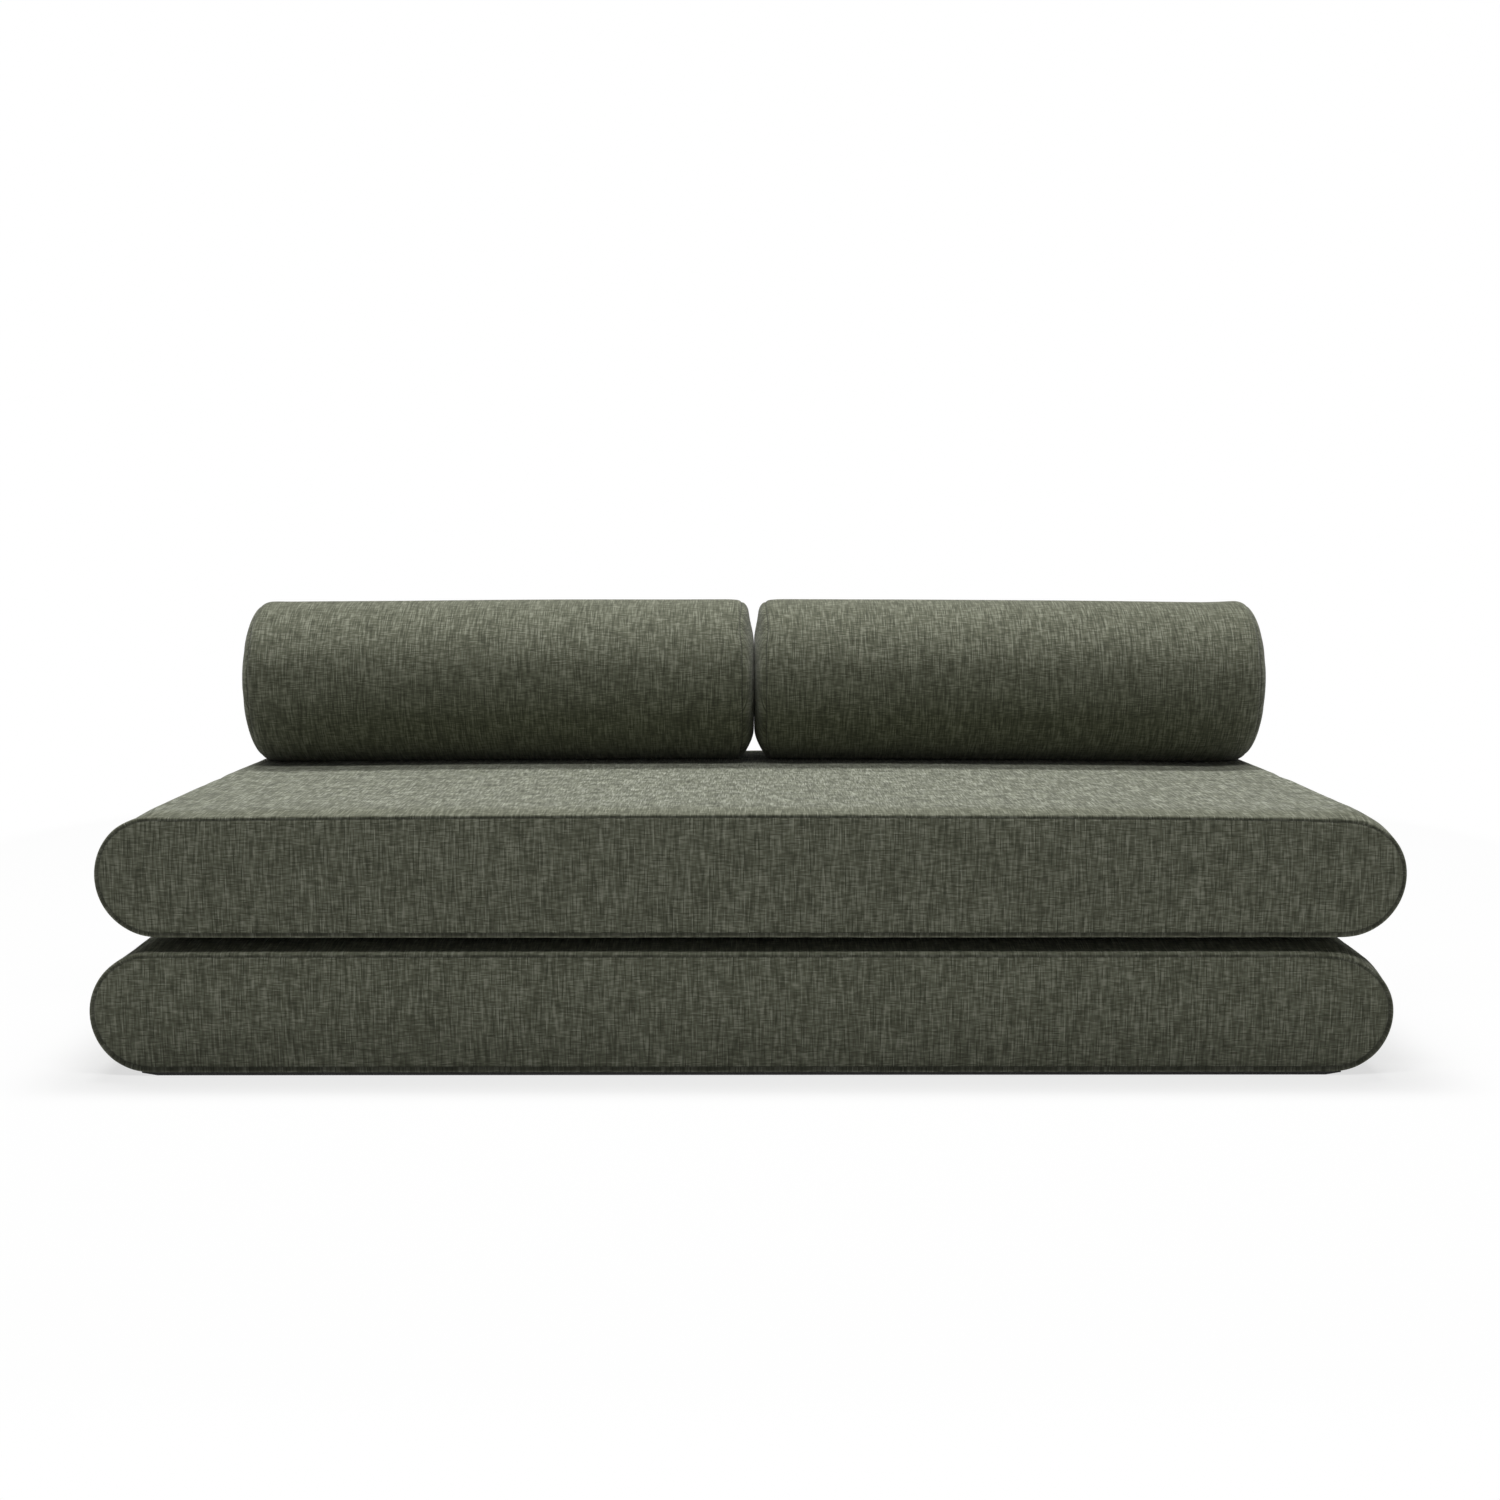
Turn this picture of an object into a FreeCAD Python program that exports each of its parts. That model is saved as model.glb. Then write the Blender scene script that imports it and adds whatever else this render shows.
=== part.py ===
import FreeCAD, Part
import os
from dataclasses import dataclass

import Sketcher

# A fold-out sofa bed. Two foam mattresses lie one on the other and are joined along the rear edge by a
# sewn strip, so that the upper one turns over to the rear and makes a bed. Two loose bolsters lie on the
# rear of the seat. Millimetres: x to the right, y to the rear, z up. The origin is on the floor, under the
# middle of the folded sofa.

SIZES = {
    # mattresses
    "mattress_length": 2000,
    "mattress_depth": 900,
    "base_edge_height": 179,
    "seat_edge_height": 185,
    "layer_gap": 31,
    "stack_shift": 14,
    "seat_crown": 8,
    "crown_run": 70,
    "shoulder_share": 0.62,
    "rest_share": 0.92,
    "rest_clearance": 0.4,
    # layers under the cover
    "cover_thickness": 2.5,
    "wadding_thickness": 12,
    "comfort_thickness": 45,
    "layer_fit": 0.3,
    # non-slip sheet under the base
    "grip_thickness": 8,
    "grip_length": 1854,
    "grip_inset": 6,
    "grip_ramp": 24,
    "grip_lift": 4,
    # sewn strip along the rear edge
    "fold_reach": 5,
    "strip_length": 1780,
    "strip_thickness": 1.6,
    "strip_lap": 18,
    # bolsters
    "bolster_diameter": 303,
    "bolster_length": 952,
    "bolster_round": 42,
    "bolster_end_seam": 21,
    "bolster_gap": 1,
    "bolster_shift": 8,
    # zips
    "mattress_zip_length": 1640,
    "bolster_zip_length": 800,
    "base_zip_rise": 52,
    "seat_zip_rise": 82,
    "zip_slot_height": 10,
    "zip_tape_height": 26,
    "zip_tape_tail": 10,
    "zip_tape_split": 1,
    "zip_tape_thickness": 0.8,
    "coil_width": 5,
    "coil_height": 2.2,
    "coil_chamfer": 0.9,
    "stop_length": 3,
    "stop_overhang": 0.7,
    "slider_length": 13,
    "slider_wall": 1.1,
    "slider_clearance": 0.3,
    "bridge_length": 9,
    "bridge_width": 3,
    "bridge_height": 1.9,
    "bridge_bar": 0.9,
}

# Heights, places and radii worked out from the driving sizes
HALF_DEPTH = "(Sizes.mattress_depth / 2)"
BASE_LOW = "Sizes.grip_thickness"
BASE_HIGH = f"({BASE_LOW} + Sizes.base_edge_height)"
SEAT_LOW = f"({BASE_HIGH} + Sizes.layer_gap)"
SEAT_HIGH = f"({SEAT_LOW} + Sizes.seat_edge_height)"
SEAT_TOP = f"({SEAT_HIGH} + Sizes.seat_crown)"
FACING_CROWN = "((Sizes.layer_gap - Sizes.rest_clearance) / 2)"
BASE_X = "(-Sizes.stack_shift / 2)"
SEAT_X = "(Sizes.stack_shift / 2)"
FOLD_Z = f"(({SEAT_TOP} + Sizes.rest_clearance) / 2)"
WADDING_INSET = "(Sizes.cover_thickness + Sizes.layer_fit)"
FOAM_INSET = f"({WADDING_INSET} + Sizes.wadding_thickness + Sizes.layer_fit)"
BOLSTER_RADIUS = "(Sizes.bolster_diameter / 2)"
BOLSTER_HALF = "(Sizes.bolster_length / 2)"
BOLSTER_Y = f"({HALF_DEPTH} - {BOLSTER_RADIUS})"
BOLSTER_REST = f"({SEAT_HIGH} + Sizes.seat_crown * Sizes.rest_share + Sizes.rest_clearance)"
BOLSTER_Z = f"({BOLSTER_REST} + {BOLSTER_RADIUS})"
BOLSTER_OFFSET = "((Sizes.bolster_length + Sizes.bolster_gap) / 2)"

SOUND_STATES = {"Up-to-date"}
HOLLOWING_FEATURES = ("PartDesign::SubtractiveLoft", "PartDesign::Groove")

doc = FreeCAD.newDocument("sofa_bed")
nodes = []


@dataclass(frozen=True)
class Mattress:
    """One mattress: its name, its middle in x, its seam heights and how far its faces crown past them."""

    name: str
    x: str
    low: str
    high: str
    crown_low: str
    crown_high: str
    zip_rise: str

    @property
    def half_straight(self):
        """Half the straight run between the round ends."""
        return f"(Sizes.mattress_length / 2 - ({self.high} - {self.low}) / 2)"

    @property
    def zip_z(self):
        """Height of the zip on the rear panel."""
        return f"({self.low} + {self.zip_rise})"


def write_sheet():
    """Put the driving sizes in a spreadsheet, one alias each."""
    sheet = doc.addObject("Spreadsheet::Sheet", "Sizes")
    for row, (alias, value) in enumerate(SIZES.items(), start=1):
        sheet.set(f"A{row}", alias)
        sheet.set(f"B{row}", str(value))
        sheet.setAlias(f"B{row}", alias)
    doc.recompute()


def bind(thing, **expressions):
    """Bind properties to expressions; a double underscore in a name stands for a dot."""
    for path, text in expressions.items():
        thing.setExpression(path.replace("__", "."), text)


def place(thing, x, y, z):
    """Bind the place of an object."""
    bind(thing, Placement__Base__x=x, Placement__Base__y=y, Placement__Base__z=z)


def keep(thing, label):
    """Name a finished sub-part and put it on the list of nodes."""
    thing.Label = label
    nodes.append(thing)
    return thing


def new_body(name, x="0", y="0", z="0"):
    """An empty body at a place."""
    body = doc.addObject("PartDesign::Body", name)
    place(body, x, y, z)
    return body


def new_sketch(body, name, role, offset=None):
    """A sketch on one of the body's origin planes, moved along the plane's normal by an expression."""
    sketch = body.newObject("Sketcher::SketchObject", name)
    plane = next(item for item in body.Origin.OriginFeatures if item.Role == role)
    sketch.AttachmentSupport = [(plane, "")]
    sketch.MapMode = "FlatFace"
    if offset:
        bind(sketch, AttachmentOffset__Base__z=offset)
    return sketch


def measure(sketch, name, text, drawn, kind, *where):
    """Add a driving dimension to a sketch, at the value it is drawn with, and bind it."""
    index = sketch.addConstraint(Sketcher.Constraint(kind, *where, float(drawn)))
    sketch.renameConstraint(index, name)
    sketch.setExpression(f"Constraints.{name}", text)


def fix(sketch, *rules):
    """Add constraints that carry no size."""
    for rule in rules:
        sketch.addConstraint(Sketcher.Constraint(*rule))


def line(sketch, start, end):
    """Add a line between two points of the sketch."""
    return sketch.addGeometry(Part.LineSegment(FreeCAD.Vector(*start), FreeCAD.Vector(*end)), False)


def quarter_arc(sketch, centre, radius, first_quarter):
    """Add a quarter circle that starts at the given number of quarter turns from the sketch's x axis."""
    quarter = 1.5707963267948966
    circle = Part.Circle(FreeCAD.Vector(*centre), FreeCAD.Vector(0, 0, 1), radius)
    start = first_quarter * quarter
    return sketch.addGeometry(Part.ArcOfCircle(circle, start, start + quarter), False)


def polygon(sketch, tag, points):
    """Closed outline of straight lines; each point is a pair of expressions, and 0 lies on an axis."""
    count = len(points)
    corners = [FreeCAD.Vector(1, 0, 0)] * count
    turn = FreeCAD.Rotation(FreeCAD.Vector(0, 0, 1), 360 / count)
    for step in range(1, count):
        corners[step] = turn.multVec(corners[step - 1])
    sides = [line(sketch, corners[step], corners[(step + 1) % count]) for step in range(count)]
    for step, (across, up) in enumerate(points):
        fix(sketch, ("Coincident", sides[step], 2, sides[(step + 1) % count], 1))
        for text, kind, axis in ((across, "DistanceX", -2), (up, "DistanceY", -1)):
            if text == "0":
                fix(sketch, ("PointOnObject", sides[step], 1, axis))
            else:
                drawn = corners[step].x if kind == "DistanceX" else corners[step].y
                measure(sketch, f"{tag}_{kind}_{step}", text, drawn, kind, -1, 1, sides[step], 1)


def rectangle(sketch, tag, left, right, low, high):
    """Closed rectangle from four expressions."""
    polygon(sketch, tag, [(left, low), (right, low), (right, high), (left, high)])


def stadium(sketch, low, high, half_straight):
    """Closed outline of two lines and four quarter arcs, the section of a mattress."""
    half, bottom, top = 900, 20, 200
    middle, radius = (bottom + top) / 2, (top - bottom) / 2
    floor = line(sketch, (-half, bottom, 0), (half, bottom, 0))
    right_low = quarter_arc(sketch, (half, middle, 0), radius, 3)
    right_high = quarter_arc(sketch, (half, middle, 0), radius, 0)
    roof = line(sketch, (half, top, 0), (-half, top, 0))
    left_high = quarter_arc(sketch, (-half, middle, 0), radius, 1)
    left_low = quarter_arc(sketch, (-half, middle, 0), radius, 2)
    fix(
        sketch,
        ("Tangent", floor, 2, right_low, 1),
        ("Coincident", right_low, 2, right_high, 1),
        ("Tangent", right_high, 2, roof, 1),
        ("Tangent", roof, 2, left_high, 1),
        ("Coincident", left_high, 2, left_low, 1),
        ("Tangent", left_low, 2, floor, 1),
        ("Coincident", right_low, 3, right_high, 3),
        ("Coincident", left_low, 3, left_high, 3),
        ("Horizontal", floor),
        ("Horizontal", roof),
        ("Horizontal", right_low, 2, right_low, 3),
        ("Horizontal", left_high, 2, left_high, 3),
    )
    measure(sketch, "low", low, bottom, "DistanceY", -1, 1, floor, 1)
    measure(sketch, "high", high, top, "DistanceY", -1, 1, roof, 1)
    measure(sketch, "right", half_straight, half, "DistanceX", -1, 1, right_low, 3)
    measure(sketch, "left", half_straight, half, "DistanceX", left_low, 3, -1, 1)


def rounded_half(sketch, half, radius, round_radius):
    """Half section of a bolster over its axis: a rectangle with two rounded corners."""
    reach, height, corner = 470, 150, 40
    axis = line(sketch, (-reach, 0, 0), (reach, 0, 0))
    right = line(sketch, (reach, 0, 0), (reach, height - corner, 0))
    right_round = quarter_arc(sketch, (reach - corner, height - corner, 0), corner, 0)
    top = line(sketch, (reach - corner, height, 0), (corner - reach, height, 0))
    left_round = quarter_arc(sketch, (corner - reach, height - corner, 0), corner, 1)
    left = line(sketch, (-reach, height - corner, 0), (-reach, 0, 0))
    fix(
        sketch,
        ("Coincident", axis, 2, right, 1),
        ("Tangent", right, 2, right_round, 1),
        ("Tangent", right_round, 2, top, 1),
        ("Tangent", top, 2, left_round, 1),
        ("Tangent", left_round, 2, left, 1),
        ("Coincident", left, 2, axis, 1),
        ("PointOnObject", axis, 1, -1),
        ("PointOnObject", axis, 2, -1),
        ("Vertical", right),
        ("Vertical", left),
        ("Horizontal", top),
        ("Equal", right_round, left_round),
    )
    measure(sketch, "round_radius", round_radius, corner, "Radius", right_round)
    measure(sketch, "reach_right", half, reach, "DistanceX", -1, 1, axis, 2)
    measure(sketch, "reach_left", half, reach, "DistanceX", axis, 1, -1, 1)
    measure(sketch, "radius", radius, height, "DistanceY", -1, 1, top, 1)


def pad(body, sketch, length, symmetric=False, reversed_way=False):
    """Extrude a sketch by an expression, along its normal, against it or both ways."""
    feature = body.newObject("PartDesign::Pad", f"{sketch.Name}_pad")
    feature.Profile = sketch
    feature.SideType = "Symmetric" if symmetric else "One side"
    feature.Reversed = reversed_way
    bind(feature, Length=length)
    return feature


def block(name, x, y, z, length, width, height):
    """A plain box from its low corner and its sides, all expressions."""
    box = doc.addObject("Part::Box", name)
    bind(box, Length=length, Width=width, Height=height)
    place(box, x, y, z)
    return box


def boolean(kind, name, base, tool):
    """A cut or a common of two objects."""
    result = doc.addObject(f"Part::{kind}", name)
    result.Base = base
    result.Tool = tool
    return result


def crown_loft(body, tag, mattress, inset, edge_y, kind):
    """Loft through the sections of a mattress, from its flat front edge over the crown to the rear edge."""
    shoulder = f"({HALF_DEPTH} - Sizes.crown_run)"
    run = [(edge_y, "0"), (shoulder, "Sizes.shoulder_share"), (BOLSTER_Y, "Sizes.rest_share")]
    stations = [(f"-{y}", share) for y, share in run] + [("0", "1")] + run[::-1]
    sections = []
    for step, (y, share) in enumerate(stations):
        sketch = new_sketch(body, f"{tag}_section_{step}", "XZ_Plane", f"-({y})")
        low = f"{mattress.low} - {mattress.crown_low} * {share} + {inset}"
        high = f"{mattress.high} + {mattress.crown_high} * {share} - {inset}"
        stadium(sketch, low, high, mattress.half_straight)
        sections.append(sketch)
    loft = body.newObject(f"PartDesign::{kind}", f"{tag}_loft")
    loft.Profile = sections[0]
    loft.Sections = sections[1:]
    return loft


def crowned_sleeve(label, mattress, outer, inner, edge_y):
    """A layer that goes round the top, the ends and the underside of a mattress."""
    body = new_body(label, mattress.x)
    crown_loft(body, f"{label}_outer", mattress, outer, edge_y, "AdditiveLoft")
    crown_loft(body, f"{label}_inner", mattress, inner, edge_y, "SubtractiveLoft")
    keep(body, label)


def foam_layers(mattress, cuts):
    """The foam block of a mattress, cut flat into layers; cuts are (label, lowest, highest)."""
    name = f"{mattress.name}_foam_block"
    edge_y = f"({HALF_DEPTH} - Sizes.cover_thickness - Sizes.zip_tape_thickness - Sizes.layer_fit)"
    foam = new_body(name, mattress.x)
    crown_loft(foam, name, mattress, FOAM_INSET, edge_y, "AdditiveLoft")
    for label, low, high in cuts:
        span = "2 * Sizes.mattress_length"
        slab = block(f"{label}_slab", "-Sizes.mattress_length", f"-{HALF_DEPTH}", low, span, f"2 * {HALF_DEPTH}",
                     f"{high} - ({low})")
        keep(boolean("Common", label, foam, slab), label)


def end_panel(label, mattress, rear):
    """The flat stadium panel at the front, or at the rear with the slot for its zip."""
    body = new_body(label, mattress.x)
    sketch = new_sketch(body, f"{label}_outline", "XZ_Plane", f"-{HALF_DEPTH}" if rear else HALF_DEPTH)
    stadium(sketch, mattress.low, mattress.high, mattress.half_straight)
    if rear:
        reach = slot_reach("Sizes.mattress_zip_length")
        half_slot = "Sizes.zip_slot_height / 2"
        rectangle(sketch, "slot", f"-{reach}", reach, f"{mattress.zip_z} - {half_slot}",
                  f"{mattress.zip_z} + {half_slot}")
    pad(body, sketch, "Sizes.cover_thickness", reversed_way=not rear)
    keep(body, label)


def slot_reach(length):
    """Half the length of the slot that a zip needs, with its stops."""
    return f"({length} / 2 + Sizes.stop_length + Sizes.layer_fit)"


def zip_line(name, x, face_y, z, length):
    """A zip along x behind a slot: two tapes, the closed coil, two end stops and the slider."""
    seat = f"({face_y} - Sizes.cover_thickness)"
    tape_reach = f"({slot_reach(length)} + Sizes.zip_tape_tail)"
    tape_width = "((Sizes.zip_tape_height - Sizes.zip_tape_split) / 2)"
    tapes = []
    for side, low in (("upper", f"{z} + Sizes.zip_tape_split / 2"), ("lower", f"{z} - Sizes.zip_tape_height / 2")):
        tapes.append(block(f"{name}_{side}_tape", f"{x} - {tape_reach}", f"{seat} - Sizes.zip_tape_thickness", low,
                           f"2 * {tape_reach}", "Sizes.zip_tape_thickness", tape_width))
    tape = doc.addObject("Part::Compound", f"{name}_zip_tape")
    tape.Links = tapes
    keep(tape, f"{name}_zip_tape")

    coil = new_body(f"{name}_zip_coil", x, seat, z)
    section = new_sketch(coil, f"{name}_coil_section", "YZ_Plane")
    half, bevel, height = "Sizes.coil_width / 2", "Sizes.coil_chamfer", "Sizes.coil_height"
    polygon(section, "coil", [
        ("0", f"-{half}"), (f"{height} - {bevel}", f"-{half}"), (height, f"-{half} + {bevel}"),
        (height, f"{half} - {bevel}"), (f"{height} - {bevel}", half), ("0", half),
    ])
    pad(coil, section, length, symmetric=True)
    keep(coil, f"{name}_zip_coil")

    stop_width = "(Sizes.coil_width + 2 * Sizes.stop_overhang)"
    stops = doc.addObject("Part::Compound", f"{name}_zip_stops")
    stops.Links = [
        block(f"{name}_stop_{side}", corner, seat, f"{z} - {stop_width} / 2", "Sizes.stop_length",
              "Sizes.coil_height", stop_width)
        for side, corner in (("right", f"{x} + {length} / 2"), ("left", f"{x} - {length} / 2 - Sizes.stop_length"))
    ]
    keep(stops, f"{name}_zip_stops")
    zip_slider(name, x, seat, z, length)


def zip_slider(name, x, seat, z, length):
    """The slider: a channel over the coil with a low bridge on its back, parked at the right end."""
    gap = "Sizes.slider_clearance"
    parked = f"{x} + {length} / 2 - Sizes.slider_length / 2 - {gap}"
    slider = new_body(f"{name}_zip_slider", parked, seat, z)
    inner = f"(Sizes.coil_width / 2 + {gap})"
    outer = f"({inner} + Sizes.slider_wall)"
    ceiling = f"(Sizes.coil_height + {gap})"
    back = f"({ceiling} + Sizes.slider_wall)"
    channel = new_sketch(slider, f"{name}_slider_channel", "YZ_Plane")
    polygon(channel, "channel", [
        (gap, f"-{outer}"), (back, f"-{outer}"), (back, outer), (gap, outer),
        (gap, inner), (ceiling, inner), (ceiling, f"-{inner}"), (gap, f"-{inner}"),
    ])
    pad(slider, channel, "Sizes.slider_length", symmetric=True)
    arch = new_sketch(slider, f"{name}_slider_bridge", "XY_Plane")
    far, near = "(Sizes.bridge_length / 2)", "(Sizes.bridge_length / 2 - Sizes.bridge_bar)"
    crest = f"({back} + Sizes.bridge_height)"
    polygon(arch, "bridge", [
        (f"-{far}", back), (f"-{near}", back), (f"-{near}", f"{crest} - Sizes.bridge_bar"),
        (near, f"{crest} - Sizes.bridge_bar"), (near, back), (far, back), (far, crest), (f"-{far}", crest),
    ])
    pad(slider, arch, "Sizes.bridge_width", symmetric=True)
    keep(slider, f"{name}_zip_slider")


def build_mattress(mattress, cuts):
    """A whole mattress: foam layers, wadding, cover in three panels, and the zip at the rear."""
    name = mattress.name
    foam_layers(mattress, cuts)
    cover_edge = f"({HALF_DEPTH} - Sizes.cover_thickness)"
    wadding_edge = f"({cover_edge} - Sizes.layer_fit)"
    crowned_sleeve(f"{name}_wadding", mattress, WADDING_INSET, f"({WADDING_INSET} + Sizes.wadding_thickness)",
                   wadding_edge)
    crowned_sleeve(f"{name}_cover_wrap", mattress, "0", "Sizes.cover_thickness", cover_edge)
    end_panel(f"{name}_front_panel", mattress, rear=False)
    end_panel(f"{name}_rear_panel", mattress, rear=True)
    zip_line(name, mattress.x, HALF_DEPTH, mattress.zip_z, "Sizes.mattress_zip_length")


def build_grip_sheet():
    """The non-slip sheet under the base, with its ends raised a little off the floor."""
    body = new_body("base_grip_sheet", BASE_X)
    sketch = new_sketch(body, "grip_profile", "XZ_Plane")
    far = "(Sizes.grip_length / 2)"
    near = f"({far} - Sizes.grip_ramp)"
    polygon(sketch, "grip", [
        (f"-{near}", "0"), (near, "0"), (far, "Sizes.grip_lift"), (far, "Sizes.grip_thickness"),
        (f"-{far}", "Sizes.grip_thickness"), (f"-{far}", "Sizes.grip_lift"),
    ])
    pad(body, sketch, "Sizes.mattress_depth - 2 * Sizes.grip_inset", symmetric=True)
    keep(body, "base_grip_sheet")


def build_hinge_strip():
    """The two halves of the sewn strip, which meet at the height of the fold behind the rear faces."""
    halves = (
        ("hinge_strip_lower", f"{BASE_HIGH} - Sizes.strip_lap", f"{FOLD_Z} - Sizes.layer_fit"),
        ("hinge_strip_upper", f"{FOLD_Z} + Sizes.layer_fit", f"{SEAT_LOW} + Sizes.strip_lap"),
    )
    for label, low, high in halves:
        half = block(label, "-Sizes.strip_length / 2", HALF_DEPTH, low, "Sizes.strip_length", "Sizes.strip_thickness",
                     f"{high} - ({low})")
        keep(half, label)


def revolved_bolster(body, tag, kind, half, radius, round_radius):
    """Turn a rounded half section about the bolster's own axis, to add it or to take it away."""
    sketch = new_sketch(body, f"{tag}_profile", "XZ_Plane")
    rounded_half(sketch, half, radius, round_radius)
    feature = body.newObject(f"PartDesign::{kind}", f"{tag}_turn")
    feature.Profile = sketch
    feature.ReferenceAxis = (sketch, ["H_Axis"])
    feature.Angle = 360


def tube(name, x, reach, outer, inner):
    """A plain sleeve along x round a bolster's axis."""
    cylinders = []
    for role, radius in (("outer", outer), ("inner", inner)):
        cylinder = doc.addObject("Part::Cylinder", f"{name}_{role}")
        cylinder.Placement.Rotation = FreeCAD.Rotation(FreeCAD.Vector(0, 1, 0), 90)
        bind(cylinder, Radius=radius, Height=f"2 * {reach}")
        place(cylinder, f"{x} - {reach}", BOLSTER_Y, BOLSTER_Z)
        cylinders.append(cylinder)
    return boolean("Cut", f"{name}_sleeve", *cylinders)


def build_bolster(name, x, outer_sign):
    """A bolster: foam, wadding sleeve, round cover, two end discs and the zip at its rear."""
    half, radius, skin = BOLSTER_HALF, BOLSTER_RADIUS, "Sizes.cover_thickness"
    under = WADDING_INSET
    sleeve_reach = f"({half} - Sizes.bolster_round)"
    foam = new_body(f"{name}_foam_core", x, BOLSTER_Y, BOLSTER_Z)
    revolved_bolster(foam, f"{name}_foam", "Revolution", f"{half} - {under}", f"{radius} - {FOAM_INSET}",
                     f"Sizes.bolster_round - {under}")
    keep(foam, f"{name}_foam_core")

    half_tape = "(Sizes.zip_tape_height / 2)"
    inner_radius = f"({radius} - {skin})"
    flat = f"(sqrt({inner_radius} * {inner_radius} - {half_tape} * {half_tape}) - Sizes.layer_fit)"
    face_y = f"({BOLSTER_Y} + {flat} + {skin})"
    length = "Sizes.bolster_zip_length"
    tape_reach = f"({slot_reach(length)} + Sizes.zip_tape_tail + Sizes.layer_fit)"
    sleeve = tube(f"{name}_wadding", x, sleeve_reach, f"{radius} - {under}",
                  f"{radius} - {under} - Sizes.wadding_thickness")
    recess = block(f"{name}_tape_recess", f"{x} - {tape_reach}",
                   f"{BOLSTER_Y} + {flat} - Sizes.zip_tape_thickness - Sizes.layer_fit",
                   f"{BOLSTER_Z} - {half_tape} - Sizes.layer_fit", f"2 * {tape_reach}", radius,
                   f"2 * ({half_tape} + Sizes.layer_fit)")
    keep(boolean("Cut", f"{name}_wadding", sleeve, recess), f"{name}_wadding")

    hide = new_body(f"{name}_hide", x, BOLSTER_Y, BOLSTER_Z)
    revolved_bolster(hide, f"{name}_hide_outer", "Revolution", half, radius, "Sizes.bolster_round")
    revolved_bolster(hide, f"{name}_hide_inner", "Groove", f"{half} - {skin}", inner_radius,
                     f"Sizes.bolster_round - {skin}")
    seam = f"({half} - Sizes.bolster_end_seam)"
    low_y, low_z = f"{BOLSTER_Y} - {radius}", f"{BOLSTER_Z} - {radius}"
    across = "Sizes.bolster_diameter"
    middle = block(f"{name}_middle", f"{x} - {seam}", low_y, low_z, f"2 * {seam}", across, across)
    slot_half = slot_reach(length)
    slot = block(f"{name}_slot", f"{x} - {slot_half}", BOLSTER_Y, f"{BOLSTER_Z} - Sizes.zip_slot_height / 2",
                 f"2 * {slot_half}", across, "Sizes.zip_slot_height")
    round_cover = boolean("Common", f"{name}_round_cover", hide, middle)
    keep(boolean("Cut", f"{name}_cover", round_cover, slot), f"{name}_cover")
    ends = (("outer_end", outer_sign), ("inner_end", -outer_sign))
    for end, sign in ends:
        corner = f"{x} + {seam}" if sign > 0 else f"{x} - {half}"
        slab = block(f"{name}_{end}_slab", corner, low_y, low_z, "Sizes.bolster_end_seam", across, across)
        keep(boolean("Common", f"{name}_{end}", hide, slab), f"{name}_{end}")
    zip_line(name, x, face_y, BOLSTER_Z, length)


def build():
    """Build every sub-part of the sofa bed."""
    base = Mattress("base", BASE_X, BASE_LOW, BASE_HIGH, "0", FACING_CROWN, "Sizes.base_zip_rise")
    seat = Mattress("seat", SEAT_X, SEAT_LOW, SEAT_HIGH, FACING_CROWN, "Sizes.seat_crown", "Sizes.seat_zip_rise")
    base_cut = f"{BASE_HIGH} - Sizes.comfort_thickness"
    base_roof = f"({BASE_HIGH} + {FACING_CROWN})"
    build_mattress(base, [("base_foam_core", BASE_LOW, base_cut), ("base_comfort_foam", base_cut, base_roof)])
    seat_floor = f"{SEAT_LOW} - {FACING_CROWN}"
    seat_cut_low = f"{SEAT_LOW} + Sizes.comfort_thickness"
    seat_cut_high = f"{SEAT_HIGH} - Sizes.comfort_thickness"
    build_mattress(seat, [
        ("seat_comfort_under", seat_floor, seat_cut_low),
        ("seat_foam_core", seat_cut_low, seat_cut_high),
        ("seat_comfort_top", seat_cut_high, SEAT_TOP),
    ])
    build_grip_sheet()
    build_hinge_strip()
    middle = f"({SEAT_X} + Sizes.bolster_shift)"
    build_bolster("bolster_left", f"({middle} - {BOLSTER_OFFSET})", -1)
    build_bolster("bolster_right", f"({middle} + {BOLSTER_OFFSET})", 1)
    doc.recompute()


def check():
    """Stop if any object failed, any sub-part is empty or unsound, or a hollow was not cut."""
    failed = [item.Name for item in doc.Objects if not SOUND_STATES.issuperset(item.State)]
    unsound = [item.Label for item in nodes if item.Shape.isNull() or not item.Shape.isValid()]
    if failed or unsound:
        raise RuntimeError(f"failed {failed}, unsound {unsound}")
    hollows = [item for item in doc.Objects if item.TypeId in HOLLOWING_FEATURES]
    whole = [item.Name for item in hollows if item.Shape.Volume >= item.BaseFeature.Shape.Volume]
    if whole:
        raise RuntimeError(f"not hollowed {whole}")


def write():
    """Write one file for each sub-part."""
    os.makedirs("parts", exist_ok=True)
    for item in nodes:
        item.Shape.exportStep(f"parts/{item.Label}.step")
        box = item.Shape.BoundBox
        print(f"{item.Label:28s} solids {len(item.Shape.Solids)} litres {item.Shape.Volume / 1e6:9.4f} "
              f"x {box.XMin:8.1f} {box.XMax:8.1f} y {box.YMin:7.1f} {box.YMax:7.1f} z {box.ZMin:6.1f} {box.ZMax:6.1f}")


write_sheet()
build()
check()
write()
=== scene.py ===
"""Looks of a fold-out sofa bed: two mattresses lie one on the other, and two bolsters on the seat.

Everything is covered in one slubbed chenille. Metres: x to the right, y to the rear, z up.
"""

import logging
import math
from abc import ABC, abstractmethod
from dataclasses import dataclass
from enum import Enum

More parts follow.
